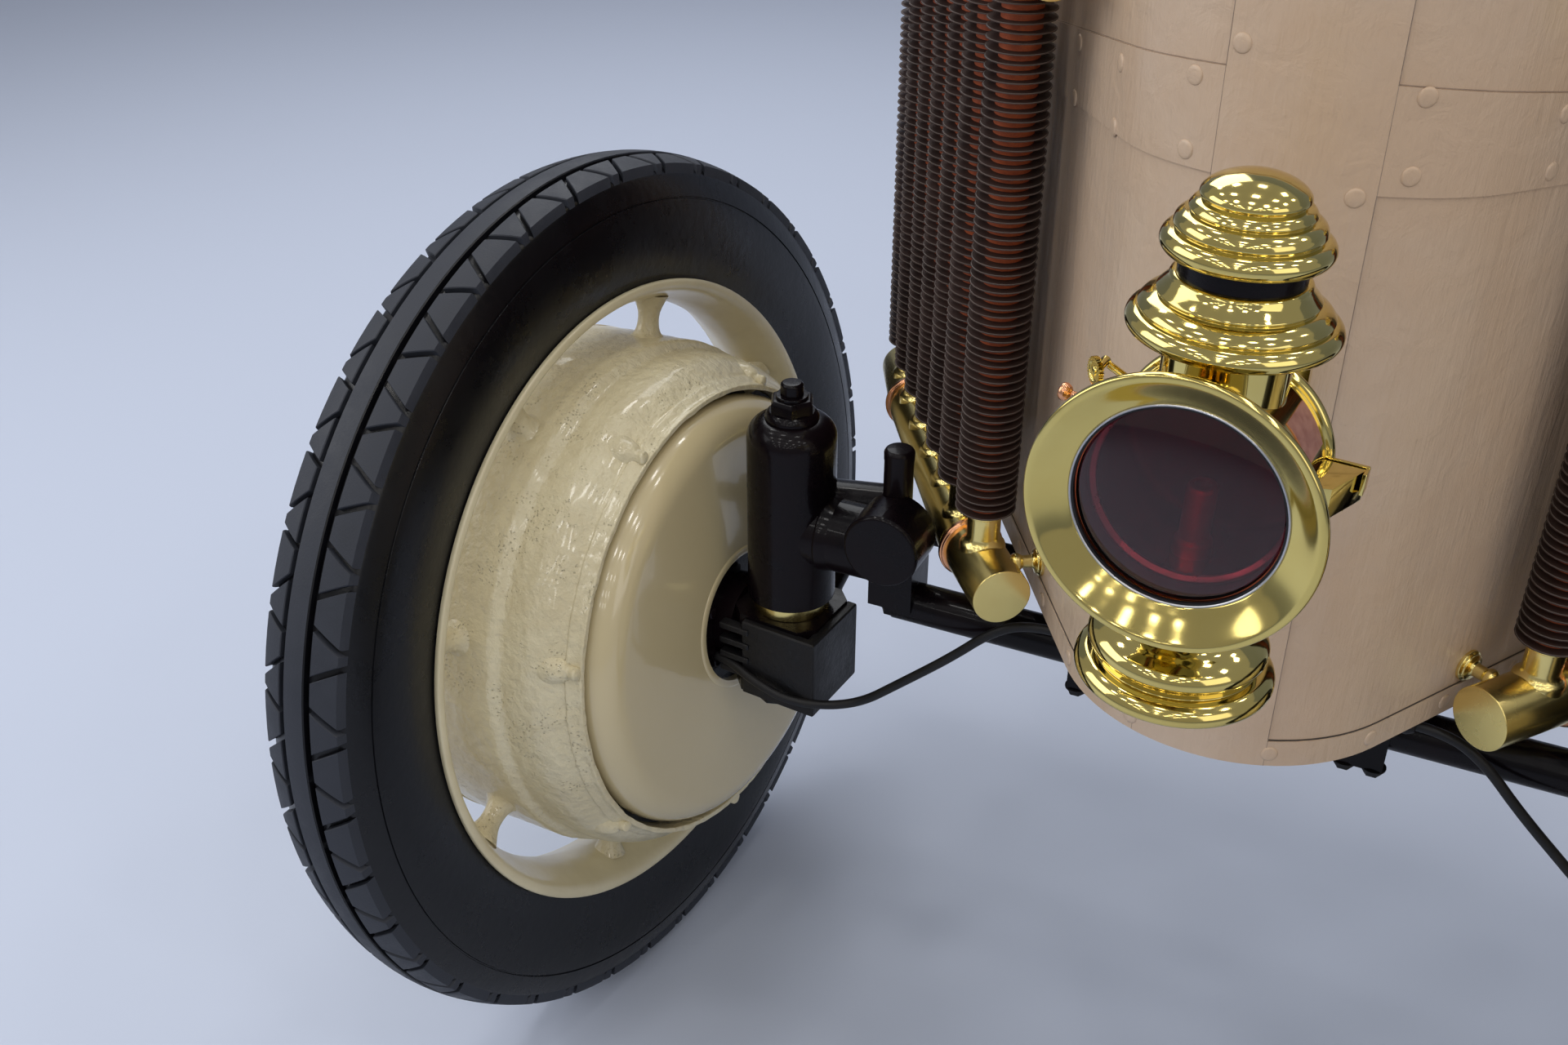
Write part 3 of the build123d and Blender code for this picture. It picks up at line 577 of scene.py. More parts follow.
def brushed_group():
    """Thick paint laid on by brush: strokes, blobs and a faint change of tone."""
    group = ShaderGroup("Brush Strokes", (
        ("Strokes Per Metre", "Float", 160.0), ("Stroke Length", "Float", 9.0), ("Blobs", "Float", 0.6)),
        (("Height", "Float"), ("Tone", "Float")))
    shorter = group.math("DIVIDE", 1.0, "Stroke Length")
    stretch = group.node("ShaderNodeCombineXYZ", {"X": 1.0, "Y": 1.0, "Z": shorter})[0]
    drawn = group.node("ShaderNodeVectorMath", {0: group.place, 1: stretch}, operation="MULTIPLY")[0]
    strokes = group.noise("Strokes Per Metre", 3.0, drawn, roughness=0.6)
    blobs = group.noise(34.0, 5.0, roughness=0.62, distortion=0.6)
    group.give("Height", group.math("MULTIPLY_ADD", blobs, "Blobs", strokes))
    group.give("Tone", group.between(blobs, 0.42, 0.7))
    return group.group


GROUPS = {}
FINISHES = {}


def cast(lumps, pits, pit_depth):
    """Values of the cast skin."""
    return "cast", {"Lumps Per Metre": lumps, "Pits Per Metre": pits, "Pit Depth": pit_depth}


def brushed(strokes, stroke_length, blobs):
    """Values of the brush strokes."""
    return "brush", {"Strokes Per Metre": strokes, "Stroke Length": stroke_length, "Blobs": blobs}


def placed_group(tree, kind, values):
    """Place a shared group in a material with the material's own values."""
    return add_node(tree, "ShaderNodeGroup", values, {"node_tree": GROUPS[kind]})


def finish(name, colour, soiled, amount, patches, speckle, roughness, change, metallic=0.0, coat=0.0,
           coat_roughness=0.1, gloss=0.5, relief=None, depth=0.0005, transmission=0.0):
    """A material: two colours in patches, with their amount, patches a metre and speckle, roughness
    and its change, and relief from a shared group's height."""
    made = bpy.data.materials.new(name)
    made.use_nodes = True
    tree = made.node_tree
    shader = tree.nodes["Principled BSDF"]
    patch = placed_group(tree, "mottle", {
        "Colour": (*colour, 1), "Soiled Colour": (*soiled, 1), "Amount": amount, "Speckle": speckle,
        "Patches Per Metre": patches, "Roughness": roughness, "Roughness Change": change})
    tree.links.new(patch["Colour"], shader.inputs["Base Color"])
    tree.links.new(patch["Roughness"], shader.inputs["Roughness"])
    for label, value in (
            ("Metallic", metallic), ("Coat Weight", coat), ("Coat Roughness", coat_roughness), ("IOR", 1.5),
            ("Specular IOR Level", gloss), ("Transmission Weight", transmission)):
        shader.inputs[label].default_value = value
    if relief:
        skin = placed_group(tree, *relief)
        values = {"Height": skin["Height"], "Distance": depth, "Strength": 1.0}
        bump = add_node(tree, "ShaderNodeBump", values, {})
        tree.links.new(bump["Normal"], shader.inputs["Normal"])
    FINISHES[name] = made


def shaded(colour, shares):
    """A colour with each of its parts brought down to a share."""
    return tuple(part * share for part, share in zip(colour, shares))


def make_finishes(colours):
    """Build the shared groups and every finish of the front end."""
    GROUPS.update(mottle=mottle_group(), cast=cast_group(), brush=brushed_group())
    cream = tuple(colours.casting)
    worn = shaded(cream, (0.72, 0.66, 0.55))
    finish("cream_casting", cream, worn, 0.55, 7, 0.35, 0.3, 0.22, coat=0.5, coat_roughness=0.07,
           relief=cast(105, 300, 0.4), depth=0.0034)
    finish("cream_rim", cream, worn, 0.4, 6, 0.2, 0.3, 0.12, coat=0.4,
           relief=cast(40, 120, 0.15), depth=0.0008)
    finish("cream_gloss", tuple(colours.cover), worn, 0.18, 4, 0.05, 0.17, 0.06, coat=0.7,
           coat_roughness=0.05, relief=brushed(40, 2, 0.8), depth=0.0002)
    paint = tuple(colours.nose)
    finish("nose_paint", paint, shaded(paint, (0.93, 0.84, 0.74)), 0.75, 3.2, 0.16, 0.36, 0.16, coat=0.25,
           coat_roughness=0.22, relief=brushed(150, 7, 1.5), depth=0.0012)
    # Near-black painted shadow for the strip over the hem bands, where the seam lies in shade
    finish("seam_painted_shadow", (0.05, 0.04, 0.035), (0.12, 0.09, 0.07), 0.5, 60, 0.5, 0.8, 0.1)
    # A darker casing colour: painted shade for thin lines at the feet of the straps' and bands' edges
    finish("painted_edge_shade", (0.36, 0.28, 0.22), (0.22, 0.16, 0.12), 0.6, 40, 0.5, 0.7, 0.1)
    finish("tread_rubber", tuple(colours.tread), (0.036, 0.040, 0.052), 0.6, 30, 0.5, 0.5, 0.18, gloss=0.35,
           relief=cast(500, 900, 0.2), depth=0.0002)
    finish("sidewall_rubber", tuple(colours.sidewall), (0.004, 0.004, 0.006), 0.5, 12, 0.3, 0.24, 0.1,
           gloss=0.36, relief=cast(90, 300, 0.05), depth=0.0003)
    finish("black_enamel", tuple(colours.black), (0.008, 0.003, 0.004), 0.5, 14, 0.3, 0.2, 0.14, coat=0.12,
           coat_roughness=0.05, gloss=0.1, relief=cast(60, 300, 0.1), depth=0.0006)
    finish("black_dull", (0.005, 0.005, 0.006), (0.014, 0.012, 0.012), 0.5, 25, 0.4, 0.34, 0.2, gloss=0.3,
           relief=cast(140, 400, 0.3), depth=0.0006)
    finish("polished_brass", tuple(colours.brass), (0.62, 0.46, 0.12), 0.4, 11, 0.1, 0.055, 0.06,
           metallic=1.0)
    finish("pipe_brass", (0.86, 0.70, 0.27), (0.70, 0.52, 0.17), 0.4, 11, 0.1, 0.2, 0.08, metallic=1.0)
    finish("dull_brass", (0.52, 0.36, 0.12), (0.30, 0.17, 0.06), 0.7, 40, 0.4, 0.3, 0.2, metallic=1.0)
    finish("polished_copper", (0.86, 0.43, 0.24), (0.62, 0.26, 0.12), 0.6, 30, 0.3, 0.16, 0.14, metallic=1.0)
    finish("copper_plate", (0.62, 0.26, 0.19), (0.74, 0.42, 0.32), 0.6, 120, 0.6, 0.36, 0.15, metallic=0.8)
    # The fins' dark brown paint is darkened further as painted shade for the gaps between fins; their edges
    # get a lighter colour, a painted highlight on the lit rims
    finish("fin_paint_and_shade", tuple(colours.fins), (0.09, 0.05, 0.04), 0.6, 24, 0.5, 0.48, 0.2, metallic=0.25)
    finish("fin_edge_highlight", (0.20, 0.165, 0.145), (0.09, 0.07, 0.06), 0.5, 24, 0.5, 0.5, 0.2, metallic=0.2)
    finish("fin_core", (0.60, 0.13, 0.04), (0.24, 0.055, 0.03), 0.5, 60, 0.5, 0.4, 0.2, metallic=0.3)
    finish("bright_steel", (0.62, 0.62, 0.64), (0.35, 0.35, 0.37), 0.4, 60, 0.3, 0.24, 0.12, metallic=1.0)
    finish("lamp_lining", (0.20, 0.012, 0.018), (0.05, 0.006, 0.008), 0.5, 30, 0.2, 0.3, 0.1, metallic=0.4)
    # The burner's finish: its pink-red colour is a painted reflection that stands in for the pink bar seen
    # in the glass
    finish("lamp_burner_with_painted_reflection", (0.75, 0.12, 0.14), (0.42, 0.05, 0.06), 0.5, 60, 0.2, 0.3, 0.1, metallic=0.5)
    finish("cable_rubber", (0.007, 0.007, 0.008), (0.02, 0.018, 0.017), 0.4, 50, 0.4, 0.38, 0.14, gloss=0.3)
    finish("raw_iron", (0.14, 0.14, 0.15), (0.08, 0.07, 0.06), 0.5, 18, 0.4, 0.5, 0.2, metallic=0.7)
    finish("varnished_wood", (0.30, 0.16, 0.075), (0.17, 0.08, 0.035), 0.8, 16, 0.3, 0.34, 0.14, coat=0.3,
           relief=brushed(180, 24, 0.2), depth=0.0004)
    finish("lamp_glass_red", (0.55, 0.16, 0.19), (0.45, 0.10, 0.13), 0.4, 30, 0.0, 0.015, 0.01,
           transmission=1.0)


# Settings

def length(name, default, description):
    return bpy.props.FloatProperty(
        name=name, default=default, description=description, unit="LENGTH", precision=4)


def count(name, default, description):
    return bpy.props.IntProperty(name=name, default=default, description=description, min=1)


def colour(name, default, description):
    return bpy.props.FloatVectorProperty(
        name=name, default=default, description=description, subtype="COLOR", size=3, min=0, max=1)


class WheelSettings(bpy.types.PropertyGroup):
    """Sizes of the tyre, rim and motor drum."""
    tyre_radius: length("Tyre Radius", 0.460, "Radius over the tread's middle")
    tyre_half_width: length("Tyre Half Width", 0.052, "Half the width over the sidewalls")
    tread_pitches: count("Tread Pitches", 40, "Repeats of the tread pattern round the tyre")
    rib_half_width: length("Rib Half Width", 0.012, "Half the width of the smooth middle rib")
    groove_width: length("Groove Width", 0.0060, "Width of the grooves between tread blocks")
    groove_depth: length("Groove Depth", 0.0065, "Depth of the grooves")
    rim_radius: length("Rim Radius", 0.336, "Radius over the rim's flanges")
    drum_radius: length("Drum Radius", 0.272, "Radius of the motor drum")
    spokes: count("Spokes", 8, "Short round spokes between the drum and the rim")
    lugs: count("Lugs", 7, "Bolt lugs on the drum's shoulder")


class RadiatorSettings(bpy.types.PropertyGroup):
    """Sizes of the finned tubes and their pipes."""
    tubes: count("Tubes", 7, "Finned tubes on each flank")
    fins: count("Fins", 62, "Fins on each tube")
    fin_radius: length("Fin Radius", 0.0274, "Radius of a fin")
    fin_thickness: length("Fin Thickness", 0.0006, "Thickness of a fin")
    core_radius: length("Core Radius", 0.0165, "Radius of the tube under the fins")
    low: length("Lowest Fin", 0.080, "Height of the lowest fin above the rear bolts")
    top: length("Highest Fin", 0.5355, "Height of the highest fin above the rear bolts")


class NoseSettings(bpy.types.PropertyGroup):
    """Sizes of the casing's fastenings."""
    rivet_radius: length("Rivet Radius", 0.0068, "Radius of a rivet head")
    rivet_rise: length("Rivet Rise", 0.0016, "Height of a rivet head")
    seam_width: length("Seam Width", 0.0014, "Width of the open seam over the hem band")


class LampSettings(bpy.types.PropertyGroup):
    """Sizes of the lamp."""
    bezel_radius: length("Bezel Radius", 0.088, "Radius of the flared bezel")
    glass_radius: length("Glass Radius", 0.0626, "Radius of the round glass")
    glass_rise: length("Glass Rise", 0.009, "How far the glass bulges")
    body_radius: length("Body Radius", 0.062, "Radius of the lamp's round body")


class ColourSettings(bpy.types.PropertyGroup):
    """Colours of the main finishes."""
    casting: colour("Casting", (0.74, 0.66, 0.44), "Cream paint on the wheel castings")
    cover: colour("Motor Cover", (0.60, 0.50, 0.29), "Glossy cream paint on the motor covers")
    nose: colour("Casing", (0.61, 0.465, 0.34), "Pinkish cream paint on the nose casing")
    tread: colour("Tread", (0.024, 0.027, 0.036), "Dusty rubber of the tread")
    sidewall: colour("Sidewall", (0.003, 0.003, 0.004), "Smooth rubber of the sidewall")
    black: colour("Black Enamel", (0.0025, 0.002, 0.003), "Gloss black of the axle")
    brass: colour("Brass", (0.74, 0.60, 0.21), "Polished brass")
    # The fins' dark brown paint, darkened further as painted shade for the gaps between them
    fins: colour("Fins", (0.04, 0.026, 0.022), "Dark brown fins")


class StageSettings(bpy.types.PropertyGroup):
    """The camera, lights and floor."""
    lens: bpy.props.FloatProperty(
        name="Lens", default=36.56, description="Focal length on a 36 mm frame", min=1)
    camera_place: bpy.props.FloatVectorProperty(
        name="Camera Place", default=(0.13827, -1.62517, 0.80999), description="Where the camera stands",
        subtype="TRANSLATION", unit="LENGTH")
    down: bpy.props.FloatProperty(
        name="Down", default=0.544, description="How far the camera looks down", subtype="ANGLE")
    aside: bpy.props.FloatProperty(
        name="Aside", default=0.450, subtype="ANGLE",
        description="How far the camera turns to the car's right")
    floor_height: length("Floor Height", -0.602, "The floor, where the tyres stand")
    floor: colour("Floor", (0.53, 0.58, 0.70), "Pale matt floor")


SETTINGS = {
    "front_wheels": WheelSettings, "front_radiators": RadiatorSettings, "front_nose": NoseSettings,
    "front_lamp": LampSettings, "front_colours": ColourSettings, "front_stage": StageSettings,
}


# Wheels

def crown_height(settings, across):
    """The tread's radius at a distance from the tyre's middle, in millimetres."""
    return settings.tyre_radius / MM - CROWN_FALL * (across / SHOULDER) ** 2


def tyre_carcass(settings):
    """Tyre without its blocks: beads, round sidewalls with a mould ridge, grooves and middle rib."""
    top, rim, deep, rib, side, width = (size / MM for size in (
        settings.tyre_radius, settings.rim_radius, settings.groove_depth, settings.rib_half_width,
        settings.tyre_half_width, settings.groove_width))
    groove = rib + width
    half = [(crown_height(settings, at) - fall, across) for at, across, fall in (
        (rib * 0.6, rib * 0.6, 0), (rib - 0.8, rib - 0.8, 0), (rib, rib, 0.8), (rib, rib + 0.4, deep),
        (groove, groove, deep), (30, 30, deep), (38, 38, deep))]
    half += [(top - fall, across) for fall, across in (
        (16.5, 42.4), (21, 44.4), (27, 46.6), (34, 48.7), (40, 50.2), (41, 50.4), (41.5, 49.2), (42.7, 49.4),
        (43.2, 50.8), (44.2, 51))]
    half += [(top - fall, side - inside) for fall, inside in (
        (52, 0.4), (62, 0), (74, 0.2), (88, 1.4), (102, 3.6), (112, 6.0))]
    half += [(rim + 5, side - 7.6), (rim + 2, side - 8.4), (rim - 13, side - 9)]
    mirrored = [(radius, -across) for radius, across in reversed(half)]
    return lathe(half + [(rim - 13.5, 0)] + mirrored + [(crown_height(settings, 0), 0)], 160)


def tread_block(mesh, settings, side, first, last):
    """One block between two slanting grooves. Each groove is a pair of shares of the pitch, at
    the rib and at the shoulder."""
    groove = settings.groove_width / MM
    inner = settings.rib_half_width / MM + groove
    width = BLOCK_EDGE - inner
    pitch = WHOLE_TURN / settings.tread_pitches
    radius = settings.tyre_radius / MM
    gap = groove / 2 / radius
    bevel = BLOCK_BEVEL / radius
    across = [0, BLOCK_BEVEL] + [width * share for share in (0.22, 0.44, 0.66, 0.86)]
    across += [width - BLOCK_BEVEL, width]
    grid = []
    for row, place in enumerate(across):
        share = place / width
        low = (first[0] + (first[1] - first[0]) * share) * pitch + gap
        high = (last[0] + (last[1] - last[0]) * share) * pitch - gap
        middle = [low + (high - low) * part for part in (0.33, 0.67)]
        turns = [low, low + bevel] + middle + [high - bevel, high]
        line = []
        for column, turn in enumerate(turns):
            border = row in (0, len(across) - 1) or column in (0, len(turns) - 1)
            height = crown_height(settings, inner + place) - (0.9 if border else 0)
            if row == len(across) - 1:
                height -= 2.4
            line.append((height, turn, side * (inner + place)))
        grid.append(line)
    made = [[mesh.verts.new((r * cos(turn), r * sin(turn), s)) for r, turn, s in line] for line in grid]
    for low, high in zip(made, made[1:]):
        for number in range(len(low) - 1):
            mesh.faces.new((low[number], low[number + 1], high[number + 1], high[number]))
    rows, columns = len(made), len(made[0])
    border = [(0, c) for c in range(columns)] + [(r, columns - 1) for r in range(1, rows)]
    border += [(rows - 1, c) for c in range(columns - 2, -1, -1)] + [(r, 0) for r in range(rows - 2, 0, -1)]
    feet = []
    for r, c in border:
        height, turn, s = grid[r][c]
        foot = height - BLOCK_ROOT
        feet.append(mesh.verts.new((foot * cos(turn), foot * sin(turn), s)))
    edge = [made[r][c] for r, c in border]
    for number in range(len(edge)):
        after = (number + 1) % len(edge)
        mesh.faces.new((edge[number], edge[after], feet[after], feet[number]))
    mesh.faces.new(feet)


def roughen(mesh, amount, size):
    """Push a mesh in and out a little, as sand casting leaves it."""
    mesh.normal_update()
    for vert in mesh.verts:
        vert.co += vert.normal * noise.noise(vert.co / size) * amount
    return mesh


def dense(rows, step):
    """Outline rows with points added about a step apart."""
    points = eased(rows)
    full = []
    for start, end in zip(points, points[1:] + points[:1]):
        parts = max(1, round((end - start).length / step))
        full += [tuple(start.lerp(end, part / parts)) for part in range(parts)]
    return full


class FRONT_OT_tyres(bpy.types.Operator):
    """Build both tyres: a smooth middle rib, slanted tread blocks and round sidewalls"""
    bl_idname = "front.tyres"
    bl_label = "Tyres"

    def execute(self, context):
        settings = context.scene.front_wheels
        rubber = FINISHES["tread_rubber"]
        straight, slanted = (0.0, -0.18), (0.37, 0.62)
        next_straight = (straight[0] + 1, straight[1] + 1)
        rib = settings.rib_half_width / MM
        for side, word in SIDES:
            body, place = f"wheel_{word}", on_wheel(side)
            piece(f"tyre_carcass_{word}", tyre_carcass(settings), FINISHES["sidewall_rubber"], body, place,
                  stands_for=(f"tyre_{word}",))
            blocks = bmesh.new()
            for half, shift in ((1, 0.0), (-1, 0.5)):
                for first, last in ((straight, slanted), (slanted, next_straight)):
                    tread_block(blocks, settings, half, [part + shift for part in first],
                                [part + shift for part in last])
            grown(f"tyre_tread_{word}", blocks, TREES["ring"], {
                "Copies": settings.tread_pitches, "First Angle": TREAD_START, "Finish": rubber}, body, place)
            rows = [(crown_height(settings, s) + 0.15, s) for s in (-rib + 1, -rib / 2, 0, rib / 2, rib - 1)]
            band = lathe(rows + [(crown_height(settings, 0) - 3, 0)], 160)
            piece(f"tyre_rib_{word}", band, rubber, body, place)
        return {"FINISHED"}


class FRONT_OT_castings(bpy.types.Operator):
    """Build both wheel castings: rim, short spokes and the motor's drum with its lugs"""
    bl_idname = "front.castings"
    bl_label = "Wheel Castings"

    def execute(self, context):
        settings = context.scene.front_wheels
        rim = settings.rim_radius / MM
        drum = settings.drum_radius / MM
        cream = FINISHES["cream_casting"]
        smooth = FINISHES["cream_rim"]
        for side, word in SIDES:
            body, place = f"wheel_{word}", on_wheel(side)
            piece(f"rim_{word}", self.rim(rim), smooth, body, place, stands_for=(f"wheel_casting_{word}",))
            piece(f"drum_{word}", self.drum(drum), cream, body, place, sharp=50)
            spoke = pipe(bmesh.new(), (drum - 6, 0, 12), (rim - 22, 0, 12), (
                (0, 0), (21, 0), (21, 3, 2), (13.5, 9, 5), (11, 18, 6), (11, 30, 6), (15, 40, 5), (19, 48),
                (0, 48)), 28)
            lug = pipe(bmesh.new(), (241, 0, LUG_FOOT), (243, 0, LUG_TIP), (
                (0, 0), (19, 0), (18.5, 8, 6), (15.5, 16, 7), (11.5, 24, 6), (7.6, 27, 2), (6.6, 28.5, 1),
                (6.4, 36, 2), (0, 38)), 28)
            bolt = hex_bolt(15, 2.3, washer=False)
            bolt.transform(Matrix.Translation((drum - 18, 0, OUTER_FACE)) @ Matrix.Rotation(pi, 4, "X"))
            for name, mesh, copies, start, finish, sharp in (
                    ("spokes", spoke, settings.spokes, SPOKE_START, cream, 50),
                    ("lugs", roughen(lug, 1.2, 9), settings.lugs, LUG_START, cream, 50),
                    ("cover_bolts", bolt, 12, 0.2, smooth, 25)):
                grown(f"{name}_{word}", mesh, TREES["ring"], {
                    "Copies": copies, "First Angle": start, "Finish": finish}, body, place,
                    sharp=sharp)
        return {"FINISHED"}

    def rim(self, rim):
        """Rim with a narrow rounded lip on each side of a deep well."""
        half = ((rim - 13, 44), (rim - 0.5, 44, 1.5), (rim, 50, 3.4), (rim - 8, 50, 3.4), (rim - 13, 45, 5),
                (rim - 19, 32, 9), (rim - 27, 14, 12))
        mirrored = tuple((radius, -across, *ease) for radius, across, *ease in reversed(half))
        return lathe(half + ((rim - 28, 0),) + mirrored, 144)

    def drum(self, drum):
        """Drum with two soft swells and a turned mouth, rough from the sand mould."""
        inner = drum - 24
        rows = (
            (inner, -66), (drum - 3, -66, 3), (drum, -60), (drum, 50, 5), (drum - 9, 59, 5),
            (drum - 8.5, 74, 12), (drum - 9, 90, 14), (drum - 15, 106, 14), (drum - 29, 121, 8),
            (246, 122, 4), (240, 130, 2.5), (239, 136, 1.5), (233.6, 136, 1.2), (233.6, 112, 3), (inner, 88))
        return roughen(roughen(lathe(dense(rows, 6), 200), 1.0, 20), 0.5, 5)


class FRONT_OT_covers(bpy.types.Operator):
    """Build both glossy motor covers and a black ring of painted shade in the running gap round them"""
    bl_idname = "front.covers"
    bl_label = "Motor Covers"

    def execute(self, context):
        lip = [(68, 152), (68, 159), (69, 160.6), (71, 161), (74, 161), (76, 160.6), (77, 159.6)]
        face = [(68 + 116 * share, 160 - 1.9 * share ** 1.6) for share in (0.2, 0.4, 0.6, 0.8, 1.0)]
        shoulder = [(195 + 33 * sin(turn), 124.6 + 33 * cos(turn)) for turn in
                    (radians(step * 7.5) for step in range(13))]
        back = [(228, 124), (220, 124), (219, 138), (196, 149), (100, 151)]
        for side, word in SIDES:
            body, place = f"knuckle_{word}", on_wheel(side)
            dome = lathe(lip + face + shoulder + back, 176)
            piece(f"cover_skin_{word}", dome, FINISHES["cream_gloss"], body, place,
                  stands_for=(f"motor_cover_{word}",), sharp=40)
            # A black ring at the bottom of the running gap: painted shade for the open gap
            gap_shade_ring = lathe(((220, 106), (232.8, 106), (232.8, 116), (220, 116)), 120)
            piece(f"running_gap_{word}", gap_shade_ring, FINISHES["black_dull"], body, place)
            screw = hex_bolt(11, 7)
            screw.transform(Matrix.Translation((57, 0, 152)))
            grown(f"flange_bolts_{word}", screw, TREES["ring"], {
                "Copies": 6, "First Angle": 0.5, "Finish": FINISHES["black_enamel"]}, body, place,
                sharp=25)
        return {"FINISHED"}


# Axle and knuckles

class FRONT_OT_axle(bpy.types.Operator):
    """Add the nut stacks, bolts, ribs and plates of the black axle and its knuckles"""
    bl_idname = "front.axle"
    bl_label = "Axle And Knuckles"

    def execute(self, context):
        for side, word in SIDES:
            self.knuckle(side, word)
            self.beam(side, word)
        places = [((x, PLATE_FRONT - 0.2, z), (0, -1, 0)) for x in (-90, -30, 30, 90) for z in (-25, 25)]
        studs("plate_rivets", rivet_head(7, 4), places, FINISHES["black_dull"], "root")
        return {"FINISHED"}

    def knuckle(self, side, word):
        """What turns with the knuckle, in millimetres about its kingpin."""
        black = FINISHES["black_enamel"]
        body, pin = f"knuckle_{word}", at_kingpin(side)
        stack = lathe(((0, 118.3), (26, 118.3), (26, 121, 1), (24, 124.5, 1.5), (21.5, 126), (0, 126)), 48)
        join(stack, lathe(((0, 125), (22.5, 125), (22.5, 136, 1), (20, 139.5, 1), (0, 139.5)), 6))
        join(stack, lathe(((0, 138.5), (15.5, 138.5), (15.5, 142.5, 1), (0, 142.5)), 40))
        join(stack, lathe(((0, 142), (11, 142), (11, 153, 1), (9, 155, 1), (0, 155)), 40))
        piece(f"kingpin_stack_{word}", stack, black, body, pin, stands_for=(f"kingpin_nut_{word}",),
              sharp=28)
        ring = lathe(((17.2, -91.3), (38, -91.3, 1), (38, -76.4, 1), (17.2, -76.4)), 72)
        piece(f"thrust_washer_{word}", ring, FINISHES["pipe_brass"], body, pin,
              stands_for=(f"thrust_ring_{word}",))
        cheeks = bmesh.new()
        box(cheeks, (14, -47, -139), (84, 10, 88), 4)
        box(cheeks, (50, -6, -139), (12, 86, 88), 4)
        for level in (-107, -124, -141, -158):
            box(cheeks, (-36, -48, level), (34, 12, 7), 2.4)
        join(cheeks, lathe(((0, -188), (49, -188), (49, -185, 1.5), (0, -183)), 8))
        piece(f"knuckle_cheeks_{word}", cheeks, FINISHES["black_dull"], body, pin,
              sharp=30)
        collar = lathe(((0, -97), (43, -97), (46, -94, 1.5), (46, -91.8), (0, -91.8)), 64)
        piece(f"knuckle_collar_{word}", collar, black, body, pin)
        foot = lathe((
            (0, -213.4), (12, -213.4), (13.6, -211.4, 1), (13.6, -204, 1), (18, -202, 1), (18, -187),
            (0, -187)), 40)
        piece(f"foot_bolt_{word}", foot, black, body, pin, sharp=28)
        castle = lathe(((0, -44), (13, -44), (13, -34, 1), (9.5, -32, 1), (0, -32)), 6)
        castle.transform(Matrix.Translation((0, 129, 0)))
        piece(f"arm_nut_{word}", castle, black, body, pin, sharp=28)

    def beam(self, side, word):
        """What stays on the axle beam, on the car's own right half."""
        black = FINISHES["black_enamel"]
        half = on_car(side)
        end = pipe(bmesh.new(), (-398, AXLE_Y, 2), (-358, AXLE_Y, 2), (
            (28, 0), (39, 0, 4), (37, 10, 5), (34.2, 19, 4), (34.2, 40, 1.5), (28, 40)), 72)
        pipe(end, (-322, AXLE_Y - 49, 28), (-322, AXLE_Y - 53, 28), (
            (0, 0), (37, 0), (35, 4, 2), (0, 4)), 64)
        piece(f"neck_collars_{word}", end, black, "root", half)
        cap = lathe(((0, -0.5), (14.4, -0.5), (14.6, 7, 1), (12.6, 10.6, 2), (0, 11.4)), 40)
        saddle = [((SADDLE_X + x, AXLE_Y + y, SADDLE_LOW), (0, 0, -1)) for x in (-12, 12) for y in (-24, 24)]
        for name, shape, places, finish in (
                ("clamp_caps", cap, [((CLAMP_X, AXLE_Y, 100), (0, 0, 1))], black),
                ("clamp_nuts", hex_bolt(20, 12), [((CLAMP_X, AXLE_Y, -58), (0, 0, -1))], black),
                ("saddle_bolts", hex_bolt(14, 8), saddle, FINISHES["black_dull"])):
            studs(f"{name}_{word}", shape, places, finish, "root", half, 25)


# Radiators

def pipe_bends():
    return [flank(along, out) for along, out in PIPE_BENDS]


def along_pipe(distance):
    """Place and direction at a distance along a pipe, whose lengths are straight."""
    bends = pipe_bends()
    for start, end in zip(bends, bends[1:]):
        run = end - start
        if distance <= run.length or end is bends[-1]:
            return start + run.normalized() * distance, run.normalized()
        distance -= run.length


def tube_places(tubes):
    """Where the finned tubes stand on the right."""
    return [along_pipe(FIRST_TUBE + TUBE_PITCH * number)[0] for number in range(tubes)]


class FRONT_OT_radiators(bpy.types.Operator):
    """Build the finned tubes of both radiators, with their copper red cores"""
    bl_idname = "front.radiators"
    bl_label = "Radiators"

    def execute(self, context):
        settings = context.scene.front_radiators
        low, top, core, radius, thick = (size / MM for size in (
            settings.low, settings.top, settings.core_radius, settings.fin_radius, settings.fin_thickness))
        places = tube_places(settings.tubes)
        pitch = (top - low - 2 * FIN_INSET) / (settings.fins - 1)
        tall = top - low + 1
        for side, word in SIDES:
            # The fins carry dark brown paint plus painted shade; their rounded edges carry a lighter painted
            # highlight
            for name, wide, finish, sharp, nodes in (
                    ("fins", radius, "fin_paint_and_shade", 30, (f"radiator_tubes_{word}",)),
                    ("fin_edges", radius - 0.6, "fin_edge_highlight", 80, ())):
                base = bmesh.new()
                for place in places:
                    base.verts.new((place.x, place.y, low + FIN_INSET))
                grown(f"{name}_{word}", base, TREES[name], {
                    "Fins": settings.fins, "Fin Pitch": pitch, "Fin Radius": wide, "Fin Thickness": thick,
                    "Finish": FINISHES[finish]}, "root", on_car(side), nodes, sharp)
            cores = bmesh.new()
            for place in places:
                pipe(cores, (place.x, place.y, low - 0.5), (place.x, place.y, top + 0.5), (
                    (0, 0), (core, 0), (core, tall), (0, tall)), 32)
            piece(f"tube_cores_{word}", cores, FINISHES["fin_core"], "root", on_car(side))
        return {"FINISHED"}


